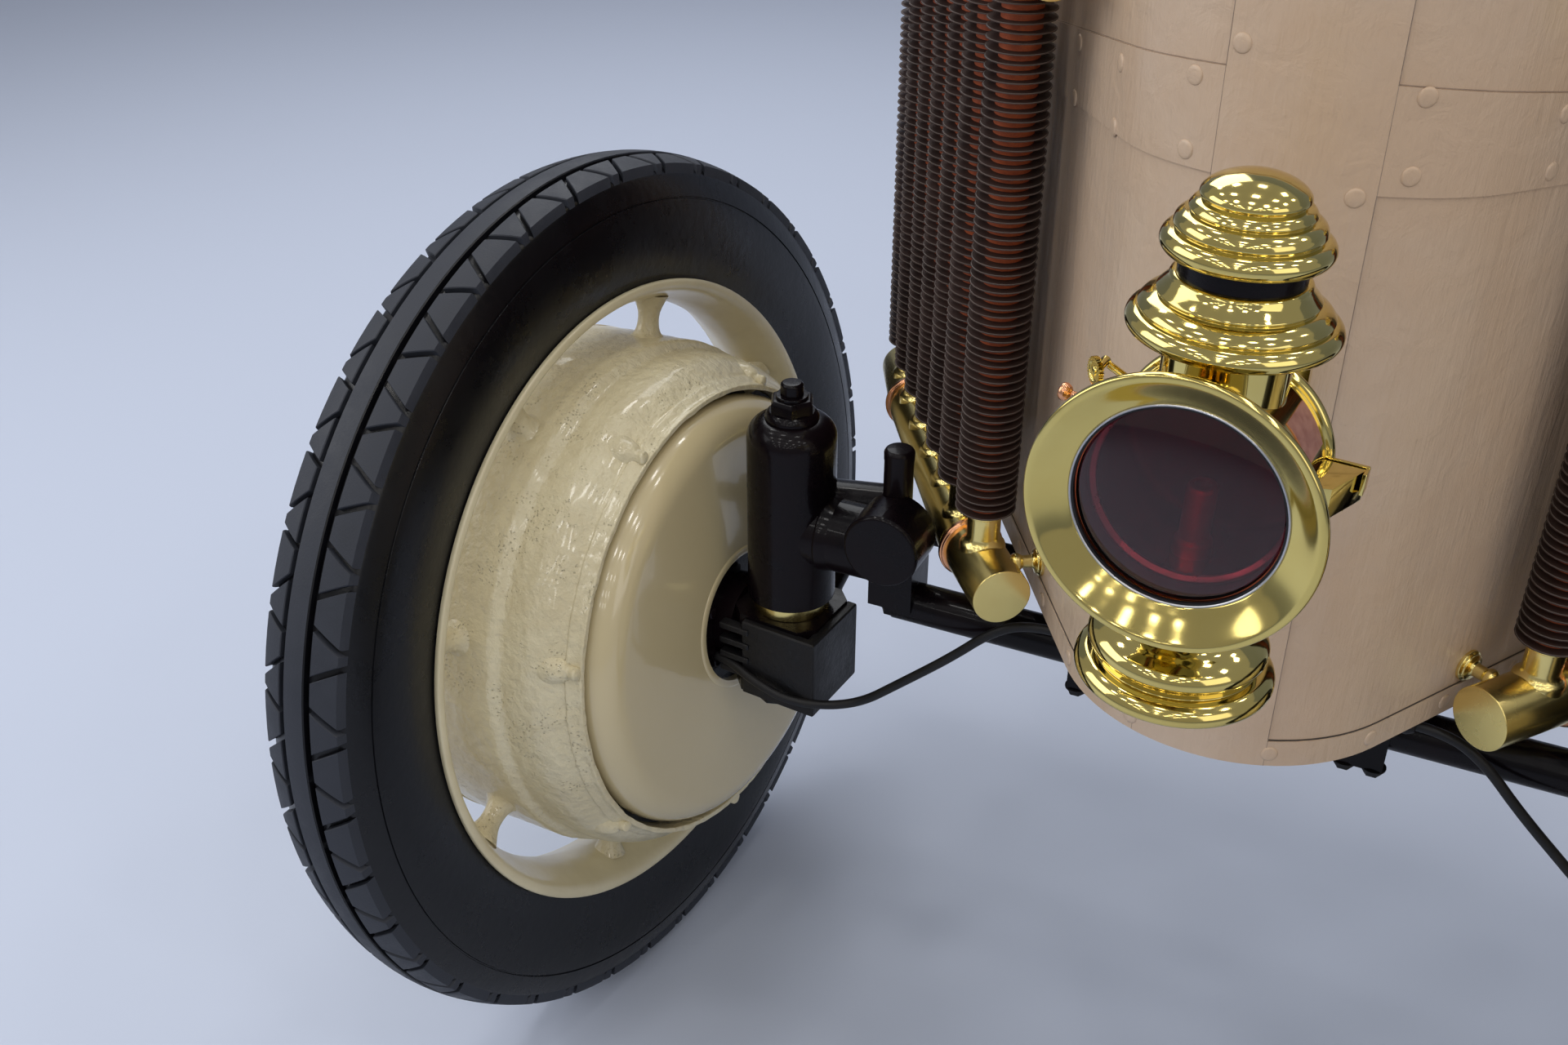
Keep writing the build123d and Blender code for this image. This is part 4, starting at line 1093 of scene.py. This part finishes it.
class FRONT_OT_manifolds(bpy.types.Operator):
    """Build the polished brass pipes under and over the finned tubes, with copper rings"""
    bl_idname = "front.manifolds"
    bl_label = "Manifolds"

    def execute(self, context):
        settings = context.scene.front_radiators
        places = tube_places(settings.tubes)
        ends = {"lower": settings.low / MM, "upper": settings.top / MM}
        for side, word in SIDES:
            for name, level in PIPE_LEVELS.items():
                pipes = bmesh.new()
                lift = Vector((0, 0, level))
                way = 1 if ends[name] > level else -1
                self.run(pipes, lift)
                for place in places:
                    self.stub(pipes, place + lift, place + Vector((0, 0, ends[name] + way * 0.5)), way)
                for along in STANDOFFS:
                    self.standoff(pipes, along, level + (12 if way > 0 else 0))
                piece(f"{name}_pipes_{word}", pipes, FINISHES["pipe_brass"], "root", on_car(side),
                      (f"{name}_manifolds",), sharp=32)
            piece(f"pipe_rings_{word}", self.rings(), FINISHES["polished_copper"], "root", on_car(side),
                  stands_for=("manifold_couplings",))
        return {"FINISHED"}

    def run(self, mesh, lift):
        """Straight lengths with round knees between them."""
        bends = pipe_bends()
        for start, end in zip(bends, bends[1:]):
            run = (end - start).length
            first, last = start is bends[0], end is bends[-1]
            rows = [(0, 0), (PIPE_R, 0, 1.2 if first else 0), (PIPE_R, run, 1.2 if last else 0), (0, run)]
            pipe(mesh, start + lift, end + lift, rows, 64)
        ball = [(PIPE_R * cos(radians(turn)), PIPE_R * sin(radians(turn))) for turn in range(-90, 91, 10)]
        for bend in bends[1:-1]:
            knee = lathe(ball, 64)
            knee.transform(Matrix.Translation(bend + lift))
            join(mesh, knee)

    def stub(self, mesh, foot, tip, way):
        """The collar that a finned tube stands in, with a ring at its mouth."""
        tall = (tip - foot).length
        pipe(mesh, foot, tip, (
            (0, 0), (22, 0), (21, 24, 3), (16.6, 28, 2.5), (15.4, 32, 1), (15.2, tall), (0, tall)), 40)
        pipe(mesh, tip - Vector((0, 0, way * 7)), tip, ((14, 0), (19.5, 0, 1), (19.5, 5, 1), (14, 5)), 40)

    def standoff(self, mesh, along, level):
        """A turned support from the casing to the pipe."""
        foot = flank(along, 0) + Vector((0, 0, level))
        out = (flank(along, 10) - flank(along, 0)).normalized()
        pipe(mesh, foot, foot + out * 40, (
            (0, 0.2), (14, 0.2), (14, 3, 0.6), (11.6, 4.6, 0.6), (11.4, 6, 0.4), (7.4, 7, 0.8), (6, 9, 1),
            (6, 18, 1), (8.2, 21, 1), (8.2, 25, 1), (6, 28, 1), (6, 40), (0, 40)), 40)

    def rings(self):
        """The copper couplings round both pipes."""
        mesh = bmesh.new()
        for level in PIPE_LEVELS.values():
            for distance in COUPLINGS:
                middle, along = along_pipe(distance)
                start = middle + Vector((0, 0, level)) - along * 4.5
                pipe(mesh, start, start + along * 9, (
                    (26, 0), (29.4, 0, 1), (29.6, 1.6, 0.5), (31.2, 2.4, 1.2), (31.2, 6.6, 1.2),
                    (29.6, 7.4, 0.5), (29.4, 9, 1), (26, 9)), 64)
        return mesh


# Nose casing

class FRONT_OT_nose(bpy.types.Operator):
    """Add the casing's rivets, thin lines of painted shade along the edges of its sheets and a dark strip of
    painted shadow for the seam over its hem bands
    """
    bl_idname = "front.nose"
    bl_label = "Nose Casing"

    def execute(self, context):
        settings = context.scene.front_nose
        for side, word in SIDES:
            places = []
            for along, level in BAND_RIVETS[side] + [(along, HEM_RIVET_LEVEL) for along in HEM_RIVETS]:
                point, way = nose_face(along, SKIN_T)
                places.append((point + Vector((0, 0, level)), way))
            head = rivet_head(settings.rivet_radius / MM, settings.rivet_rise / MM)
            studs(f"casing_rivets_{word}", head, places, FINISHES["nose_paint"], "root", on_car(side),
                  50)
            # A dark strip of painted shadow over each hem band
            piece(f"hem_seam_{word}", self.seam(settings.seam_width / MM), FINISHES["seam_painted_shadow"], "root",
                  on_car(side))
            # Thin dark lines of painted shade along the casing's edges
            piece(f"casing_edges_{word}", self.edges(), FINISHES["painted_edge_shade"], "root", on_car(side))
        places = [((x, y, NOSE_TOP + 14), (0, 0, 1)) for x, y in (
            (0, -560), (-90, -500), (90, -500), (-150, -380), (150, -380), (-210, -240), (210, -240),
            (-300, -60), (300, -60), (-100, -50), (100, -50))]
        studs("lid_screws", rivet_head(6, 2.4), places, FINISHES["dull_brass"], "root")
        return {"FINISHED"}

    def seam(self, wide):
        """A dark strip of painted shadow for the gap over the right hem band, round the nose and back along
        the flank.
        """
        stations = [NOSE_ARC * part / 12 for part in range(4, 13)]
        stations += [NOSE_ARC + step for step in (120, 300, 480)]
        corners = ((0.05, 0.1), (LINE_RISE, 0.1), (LINE_RISE, wide), (0.05, wide))
        return loft([[nose_face(along, out)[0] + Vector((0, 0, HEM_TOP + rise)) for out, rise in corners]
                     for along in stations])

    def edges(self):
        """Thin lines of painted shade beside the middle strap and along both edges of the side band."""
        mesh = bmesh.new()
        strap = STRAP_HALF * NOSE_R
        beside = strap + 0.15
        self.ribbon(mesh, [(beside, NOSE_LOW), (beside, NOSE_TOP)], (0.36, 0), SKIN_T + 0.12)
        stops = [strap + step * 12 for step in range(12)] + [NOSE_ARC + step * 60 for step in range(1, 9)]
        front = NOSE_ARC_Y - NOSE_R
        for level, fall, tall in ((BAND_LOW, BAND_LOW_FALL, -0.5), (BAND_TOP, BAND_TOP_FALL, 0.5)):
            line = [(along, level - fall * (nose_face(along)[0].y - front)) for along in stops]
            self.ribbon(mesh, line, (0, tall), LINE_RISE)
        return mesh

    def ribbon(self, mesh, line, size, out):
        """A thin line on the casing's skin, through places given along the skin and by height."""
        wide, tall = size
        corners = ((0, 0, LINE_FOOT), (0, 0, out), (wide, tall, out), (wide, tall, LINE_FOOT))
        loft([[nose_face(along + aside, rise)[0] + Vector((0, 0, level + up)) for aside, up, rise in corners]
              for along, level in line], mesh)


# Lamp

def turned(name, rows, steps, finish, place, node=None):
    """A turned piece of the lamp."""
    piece(name, lathe(rows, steps), FINISHES[finish], "root", place, (node,) if node else ())


class FRONT_OT_lamp(bpy.types.Operator):
    """Build the brass oil lamp: body, bezel, glass, hood, cap, oil tank, wick wheel and latch"""
    bl_idname = "front.lamp"
    bl_label = "Lamp"

    def execute(self, context):
        settings = context.scene.front_lamp
        rim, glass, drum, rise = (size / MM for size in (
            settings.bezel_radius, settings.glass_radius, settings.body_radius, settings.glass_rise))
        self.body(drum)
        self.front(rim, glass, drum, rise)
        self.inside(drum)
        self.tops()
        self.wick_wheel()
        self.sides(drum)
        return {"FINISHED"}

    def body(self, drum):
        """The round body, the chimney's foot on it and the neck of the oil tank."""
        back = LAMP_BACK
        turned("lamp_drum", (
            (0, back), (drum - 3, back, 3), (drum, back + 2, 2), (drum, back + 4.6, 0.6),
            (drum + 3.6, back + 5.4, 2.4), (drum + 5, back + 9, 2.4), (drum + 3.6, back + 12.6, 2.4),
            (drum, back + 13.4, 0.6), (drum, 50), (drum + 1.2, 50.4, 0.5), (drum + 1.2, 53.6, 0.5),
            (drum, 54), (drum, 57), (drum - 1, 57), (drum - 1, back + 1), (0, back + 1)), 128,
            "polished_brass", forward(), "lamp_body")
        tube = lathe(((34, 40), (37, 40), (37, 66), (37, 96), (34, 96)), 96)
        for vert in tube.verts:
            if vert.co.z < 50:
                vert.co.z = sqrt((drum - 1.5) ** 2 - vert.co.x ** 2)
        piece("lamp_chimney", tube, FINISHES["polished_brass"], "root", on_lamp(), ("lamp_body",))
        turned("lamp_tank_neck", ((0, -104), (34, -104), (34, -58), (0, -58)), 80, "polished_brass",
               on_lamp(), "lamp_body")

    def front(self, rim, glass, drum, rise):
        """The flared bezel and, in it, a bright ring, a gasket and the bulging glass."""
        seat, lip = LAMP_SEAT, LAMP_LIP
        turned("lamp_bezel_ring", (
            (glass + 1.2, seat), (glass + 2.4, seat + 1.2, 0.6), (glass + 9, seat + 5.4, 8),
            (rim - 6, lip - 1.2, 3), (rim - 4.4, lip - 0.2, 1), (rim - 1, lip - 0.2, 2.4), (rim, lip - 3, 2),
            (rim - 0.6, lip - 6, 2), (rim - 4, lip - 6.4, 1), (drum + 8, 56, 8), (drum + 1.5, 50, 2),
            (drum + 1.2, 46), (drum - 0.5, 46), (drum - 0.5, seat - 5), (glass + 1.2, seat - 5)), 160,
            "polished_brass", forward(), "lamp_bezel")
        turned("lamp_glass_ring", (
            (glass + 0.3, seat - 1), (glass + 0.3, seat + 0.9, 0.3), (glass + 1.1, seat + 1.7, 0.6),
            (glass + 2.0, seat + 1.0, 0.3), (glass + 2.0, seat - 1)), 128, "bright_steel", forward())
        turned("lamp_glass_gasket", (
            (glass - 0.9, seat - 2), (glass - 0.9, seat + 0.3), (glass + 0.4, seat + 0.6),
            (glass + 0.4, seat - 2)), 128, "black_dull", forward())
        outside = self.bulge(glass, seat - 3, rise)
        inside = self.bulge(glass * 0.985, seat - 7, rise * 0.4)
        turned("lamp_lens", outside[::-1] + inside, 128, "lamp_glass_red", forward(), "lamp_glass")

    def bulge(self, radius, height, rise):
        """Outline of a bulging glass, from its middle to its edge."""
        widest = 1.0
        flat = cos(widest)
        return [(radius * sin(turn) / sin(widest), height + rise * (cos(turn) - flat) / (1 - flat))
                for turn in (widest * step / 24 for step in range(25))]

    def inside(self, drum):
        """What the glass lets through: a dark red lining, a bright ring and the burner, whose pink-red
        colour is a painted reflection.
        """
        back = LAMP_BACK
        turned("lamp_lining_cup", (
            (0, back + 3), (drum - 4, back + 3, 6), (drum - 3, back + 12), (drum - 3, 52), (drum - 2, 52),
            (drum - 2, back + 2), (0, back + 2)), 96, "lamp_lining", forward())
        turned("lamp_inner_ring", (
            (drum - 8, 33), (drum - 3.4, 33), (drum - 3.4, 36.5), (drum - 5, 37, 0.5), (drum - 8, 35, 0.5)),
            96, "bright_steel", forward())
        # The burner is a real part; its pink-red colour is a painted reflection
        turned("lamp_burner", (
            (0, -58), (11, -58), (11, -50, 2), (8.6, -48), (8.6, -18, 1), (7.4, -16, 0.5), (4.6, -15.6, 0.5),
            (4.6, -22), (0, -22)), 40, "lamp_burner_with_painted_reflection", on_lamp(-2))

    def tops(self):
        """The hood, the black neck, the cap and the oil tank, all on the lamp's upright axis."""
        upright = on_lamp()
        turned("lamp_hood", (
            (37, 93), (37, 87.5), (54, 86.4, 2), (59.5, 86.6, 3), (61.6, 91.2, 4), (60, 95.4, 3),
            (56.6, 98, 1.5), (53.6, 98.4, 0.4), (55.2, 100.6, 0.8), (52.6, 104, 2), (47.6, 107, 2),
            (44.4, 107.8, 0.4), (46, 110, 0.8), (43, 113.4, 3), (40.2, 117, 3), (39.4, 119.6, 1),
            (37.6, 121, 1), (33, 121), (33, 93)), 144, "polished_brass", upright, "lamp_canopy")
        turned("lamp_black_neck", ((30, 120.5), (36, 120.5), (36, 132.6), (30, 132.6)), 96, "black_enamel",
               upright, "lamp_neck")
        turned("lamp_cap_dome", (
            (0, 133.4), (41, 132.8, 1), (46, 134, 3), (48.6, 138.8, 4), (47.2, 143.4, 3), (44, 145.8, 1.5),
            (40.2, 146.6, 0.4), (42, 149, 0.8), (41, 153, 2.5), (37, 156, 1.5), (33.4, 156.8, 0.4),
            (35, 159, 0.8), (32.6, 162.6, 2), (28, 164.2, 0.4), (30.3, 166.4, 0.8), (29.8, 169, 1.5),
            (26, 173.2, 5), (17.5, 177.4, 7), (8, 179.7, 5), (0, 180)), 144, "polished_brass", upright,
            "lamp_cap")
        turned("lamp_oil_tank", (
            (0, -154.6), (52, -155, 2), (56, -154.4, 2), (62.6, -152.6, 3), (64.2, -148, 4), (62, -142.8, 3),
            (57, -139.6, 1.5), (51.6, -138.6, 0.6), (51.6, -134.6, 0.6), (55, -132.2, 2), (57.6, -127, 4),
            (55.6, -121, 5), (49.6, -116.4, 4), (41, -112, 5), (37.2, -106, 3), (34, -104, 1), (0, -104)),
            144, "polished_brass", upright, "lamp_fount")

    def wick_wheel(self):
        """The milled wheel that turns the wick, on its bent stem."""
        brass = FINISHES["polished_brass"]
        post = pipe(bmesh.new(), (-50, 4, 36), (-73, 4, 47), (
            (0, 0), (6, 0), (6, 5, 1), (2.4, 7, 1), (2.4, 22), (0, 22)), 32)
        pipe(post, (-73, 8, 46), (-73, -9, 46), ((0, 0), (3.4, 0, 1), (2.6, 4), (2.6, 17, 1), (0, 17)), 32)
        piece("wick_wheel_stem", post, brass, "root", on_lamp(), ("lamp_knob",))
        teeth = 28
        wheel = forward(-73, -6, 45) @ Matrix.Rotation(radians(-46), 4, "Y")
        corners = [(radius, share * WHOLE_TURN / teeth) for radius, share in (
            (7.4, -0.4), (8.9, -0.2), (8.9, 0.2), (7.4, 0.4))]
        tooth = loft([[(radius * cos(turn), radius * sin(turn), rise) for radius, turn in corners]
                      for rise in (0, 3)])
        grown("wick_wheel_teeth", tooth, TREES["ring"], {"Copies": teeth, "Finish": brass}, "root", wheel,
              ("lamp_knob",))
        turned("wick_wheel", (
            (0, 0), (7.7, 0), (7.7, 3), (6.6, 3, 0.4), (6.2, 2, 0.4), (3, 2, 0.3), (2.6, 3.6, 0.5),
            (0, 3.8)), 60, "polished_brass", wheel, "lamp_knob")

    def sides(self, drum):
        """The latch on one side of the body, and the bare plate, box and hook on the other."""
        brass = FINISHES["polished_brass"]
        latch = pipe(bmesh.new(), (-drum + 4, 2, 18), (-drum - 36, 2, 22), (
            (0, 0), (4, 0), (4, 5, 1), (2.2, 7, 0.6), (2.2, 32), (4.6, 33.4, 1), (6.2, 36.6, 2), (5, 40, 2),
            (0, 41)), 32)
        piece("lamp_latch", latch, FINISHES["polished_copper"], "root", on_lamp())
        section = [(drum + lift, y) for lift, y in ((0.05, -16), (0.05, 18), (0.7, 18), (0.7, -16))]
        plate = loft([[(reach * cos(turn), y, reach * sin(turn)) for reach, y in section]
                      for turn in (radians(20 + 3 * step) for step in range(10))])
        piece("lamp_blank_plate", plate, FINISHES["copper_plate"], "root", on_lamp())
        corners = ((drum - 6, -18), (drum + 12, -13), (drum + 24, 21), (drum - 6, 21))
        socket = loft([[(x, y, level) for x, y in corners] for level in (-10, 10.6)])
        bmesh.ops.bevel(socket, geom=list(socket.edges), offset=0.9, segments=2, profile=0.7, affect="EDGES")
        piece("lamp_side_box", socket, brass, "root", on_lamp(), ("lamp_body",))
        hook = bmesh.new()
        box(hook, (drum + 12, 23.2, 6), (26, 2.4, 11), 0.6)
        box(hook, (drum + 24.2, 18.6, 4), (2.4, 11, 14), 0.6)
        box(hook, (drum + 10, 23.2, -13), (11, 2.4, 16), 0.6)
        piece("lamp_side_hook", hook, brass, "root", on_lamp())
        screws = [((61, -54, 6), (0.5, -1, 0.05)), ((-8, -73.4, 84), (0, -0.4, 0.9))]
        studs("lamp_screws", rivet_head(2.2, 1.1), screws, brass, "root", on_lamp())


# Cables

def cable_points(side):
    """The cable's control points in metres, from the hub's gland to the one on the frame rail."""
    hub = ((-59, -50, -150), (-43, -51, -148.7), (-8, -60, -157), (38, -58, -168))
    rail = ((-344, -466, -160), (-298, -461, -120), (-250, -459, -76), (-214, -456, -38), (-182, -452, -22),
            (-153, -452, -22))
    steer = Matrix.Rotation(STEER_AT_REST, 3, "Z")
    kingpin = Vector((side * KING_X, AXLE_Y, 0))
    return [(kingpin + steer @ Vector((-side * x, y, z))) * MM for x, y, z in hub] + [
        Vector((-side * x, y, z)) * MM for x, y, z in rail]


class FRONT_OT_cables(bpy.types.Operator):
    """Build the motor cables, from the hubs to the frame rails"""
    bl_idname = "front.cables"
    bl_label = "Motor Cables"

    def execute(self, context):
        for side, word in SIDES:
            points = cable_points(side)
            path = self.smooth(points)
            data = plain(f"cable_{word}", self.tube(path))
            data.materials.append(FINISHES["cable_rubber"])
            data.shade_smooth()
            cable = linked(f"cable_{word}", data)
            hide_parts(f"motor_cable_{word}")
            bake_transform(cable)
            end = points[-1] / MM
            sleeve = pipe(bmesh.new(), end, end + (points[-1] - points[-2]) / MM, (
                (4.6, -4), (6.4, -4, 1), (9.2, 2, 1), (9.2, 8), (4.6, 8)), 32)
            piece(f"cable_sleeve_{word}", sleeve, FINISHES["black_dull"], "root")
        return {"FINISHED"}

    def smooth(self, points):
        """A smooth path through the cable's control points."""
        curve = bpy.data.curves.new("cable_line", "CURVE")
        curve.dimensions = "3D"
        spline = curve.splines.new("NURBS")
        spline.points.add(len(points) - 1)
        for point, place in zip(spline.points, points):
            point.co = (*place, 1)
        spline.order_u = 3
        spline.use_endpoint_u = True
        spline.resolution_u = 10
        carrier = linked("cable_line", curve)
        line = as_seen(carrier)
        path = [vert.co.copy() for vert in line.vertices]
        bpy.data.objects.remove(carrier)
        bpy.data.curves.remove(curve)
        bpy.data.meshes.remove(line)
        return path

    def tube(self, path):
        """A round tube along a path, in metres."""
        turns = [WHOLE_TURN * part / 20 for part in range(20)]
        rings = []
        across = Vector((0, 0, 1))
        for number, place in enumerate(path):
            ahead = path[min(number + 1, len(path) - 1)] - path[max(number - 1, 0)]
            ahead.normalize()
            across = (across - ahead * across.dot(ahead)).normalized()
            other = ahead.cross(across)
            rings.append([place + (across * cos(turn) + other * sin(turn)) * CABLE_R * MM for turn in turns])
        return loft(rings)


# What the packed model shows itself

class FRONT_OT_dress(bpy.types.Operator):
    """Give every piece of the packed model that stays in sight its finish"""
    bl_idname = "front.dress"
    bl_label = "Frame And Casing"

    def execute(self, context):
        dressed = {
            "black_enamel": (
                "axle_beam", "axle_saddles", "frame_rails", "rear_plate", "tie_rod", "knuckle_right",
                "knuckle_left", "cable_glands"),
            "nose_paint": (
                "nose_sheet_right", "nose_sheet_left", "nose_middle_strap", "nose_side_bands",
                "nose_hem_bands", "nose_lid"),
            "varnished_wood": ("nose_dash", "nose_formers"),
            "cream_rim": ("wheel_outer_cover_right", "wheel_outer_cover_left"),
            "polished_brass": ("hub_cap_right", "hub_cap_left", "lamp_bracket"),
            "raw_iron": ("motor_core_right", "motor_core_left"),
        }
        for name, nodes in dressed.items():
            for node in nodes:
                item = frame["nodes"][node]
                item.data.materials.clear()
                item.data.materials.append(FINISHES[name])
        return {"FINISHED"}


# Stage

class FRONT_OT_stage(bpy.types.Operator):
    """Set the floor, the soft lights and the camera"""
    bl_idname = "front.stage"
    bl_label = "Stage"

    def execute(self, context):
        settings = context.scene.front_stage
        scene = context.scene
        scene.view_settings.view_transform = "Standard"
        self.backdrop(settings)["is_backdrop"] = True
        self.world(scene)
        self.lamps()
        camera = bpy.data.cameras.new("photo_camera")
        camera.sensor_width = 36
        camera.lens = settings.lens
        camera.clip_start = 0.02
        camera.clip_end = 60
        stand = linked("photo_camera", camera)
        stand.location = settings.camera_place
        stand.rotation_euler = (pi / 2 - settings.down, 0, settings.aside)
        scene.camera = stand
        return {"FINISHED"}

    def backdrop(self, settings):
        """A floor that rises behind the object in a wide curve."""
        mesh = bmesh.new()
        turns = [radians(step * 6) for step in range(16)]
        curve = [(4 + 3 * sin(turn), 3 - 3 * cos(turn)) for turn in turns]
        rows = [[mesh.verts.new((x, y, settings.floor_height + z)) for x in (-16, 16)]
                for y, z in [(-14, 0)] + curve + [(7, 9)]]
        for low, high in zip(rows, rows[1:]):
            mesh.faces.new((low[0], low[1], high[1], high[0]))
        data = bpy.data.meshes.new("studio_floor")
        mesh.to_mesh(data)
        mesh.free()
        material = bpy.data.materials.new("studio_floor")
        material.use_nodes = True
        shader = material.node_tree.nodes["Principled BSDF"]
        shader.inputs["Roughness"].default_value = 0.85
        shader.inputs["Base Color"].default_value = (*settings.floor, 1)
        data.materials.append(material)
        data.shade_smooth()
        return linked("studio_floor", data)

    def world(self, scene):
        world = bpy.data.worlds.new("studio")
        world.use_nodes = True
        sky = world.node_tree.nodes["Background"]
        sky.inputs["Color"].default_value = (0.92, 0.94, 1.0, 1)
        sky.inputs["Strength"].default_value = 0.33
        scene.world = world

    def lamps(self):
        """A hall ceiling of small soft panels, and large soft ones beside and behind the object."""
        warm, cool = (1.0, 0.98, 0.95), (0.97, 0.98, 1.0)
        for row in range(7):
            power = 2.6 if row < 3 else 4.6
            for column in range(5):
                x, y = -2.4 + 1.2 * column, -7.6 + 1.45 * row
                self.panel(f"ceiling_{row + 1}_{column + 1}", (x, y, 3.3), (x * 0.5, y * 0.5 - 0.3, 0),
                           (0.32, 0.32), power, warm)
        self.panel("left_panel", (3.5, -2.4, 1.9), (0.1, -0.5, 0.1), (2.4, 2.4), 22, (1.0, 0.97, 0.93))
        self.panel("right_panel", (-3.6, -1.6, 1.8), (-0.5, -0.4, 0), (2.6, 2.4), 46, cool)
        self.panel("back_panel", (-2.0, 2.4, 3.0), (-1.2, 0.6, -0.6), (2.2, 2.2), 52, (0.96, 0.98, 1.0))

    def panel(self, name, place, target, size, power, tint):
        """One soft panel, aimed at a target."""
        light = bpy.data.lights.new(name, "AREA")
        light.shape = "RECTANGLE"
        light.size, light.size_y = size
        light.energy = power
        light.color = tint
        lamp = linked(name, light)
        lamp.location = place
        lamp.rotation_euler = (Vector(target) - Vector(place)).to_track_quat("-Z", "Y").to_euler()


OPERATORS = (
    FRONT_OT_tyres, FRONT_OT_castings, FRONT_OT_covers, FRONT_OT_axle, FRONT_OT_radiators,
    FRONT_OT_manifolds, FRONT_OT_nose, FRONT_OT_lamp, FRONT_OT_cables, FRONT_OT_dress, FRONT_OT_stage,
)


class FRONT_PT_build(bpy.types.Panel):
    """Steps that build the front end, in order"""
    bl_idname = "FRONT_PT_build"
    bl_label = "Front End"
    bl_space_type = "VIEW_3D"
    bl_region_type = "UI"
    bl_category = "Front End"

    def draw(self, context):
        column = self.layout.column()
        for step in OPERATORS:
            column.operator(step.bl_idname)
        for name, group in SETTINGS.items():
            panel = self.layout.box()
            panel.label(text=group.__doc__)
            for field in group.__annotations__:
                panel.prop(getattr(context.scene, name), field)


def register():
    for group in (*SETTINGS.values(), *OPERATORS, FRONT_PT_build):
        bpy.utils.register_class(group)
    for name, group in SETTINGS.items():
        setattr(bpy.types.Scene, name, bpy.props.PointerProperty(type=group))


def unregister():
    for name in SETTINGS:
        delattr(bpy.types.Scene, name)
    for group in (FRONT_PT_build, *reversed(OPERATORS), *SETTINGS.values()):
        bpy.utils.unregister_class(group)


def reach():
    """The object's lowest and highest corner as plain lists of numbers."""
    return [[float(number) for number in corner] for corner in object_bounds()]


def main():
    register()
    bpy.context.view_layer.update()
    make_finishes(bpy.context.scene.front_colours)
    TREES.update(ring=ring_tree(), fins=fin_tree(False), fin_edges=fin_tree(True), studs=stud_tree())
    for step in OPERATORS:
        family, name = step.bl_idname.split(".")
        getattr(getattr(bpy.ops, family), name)()


if __name__ == "__main__":
    main()
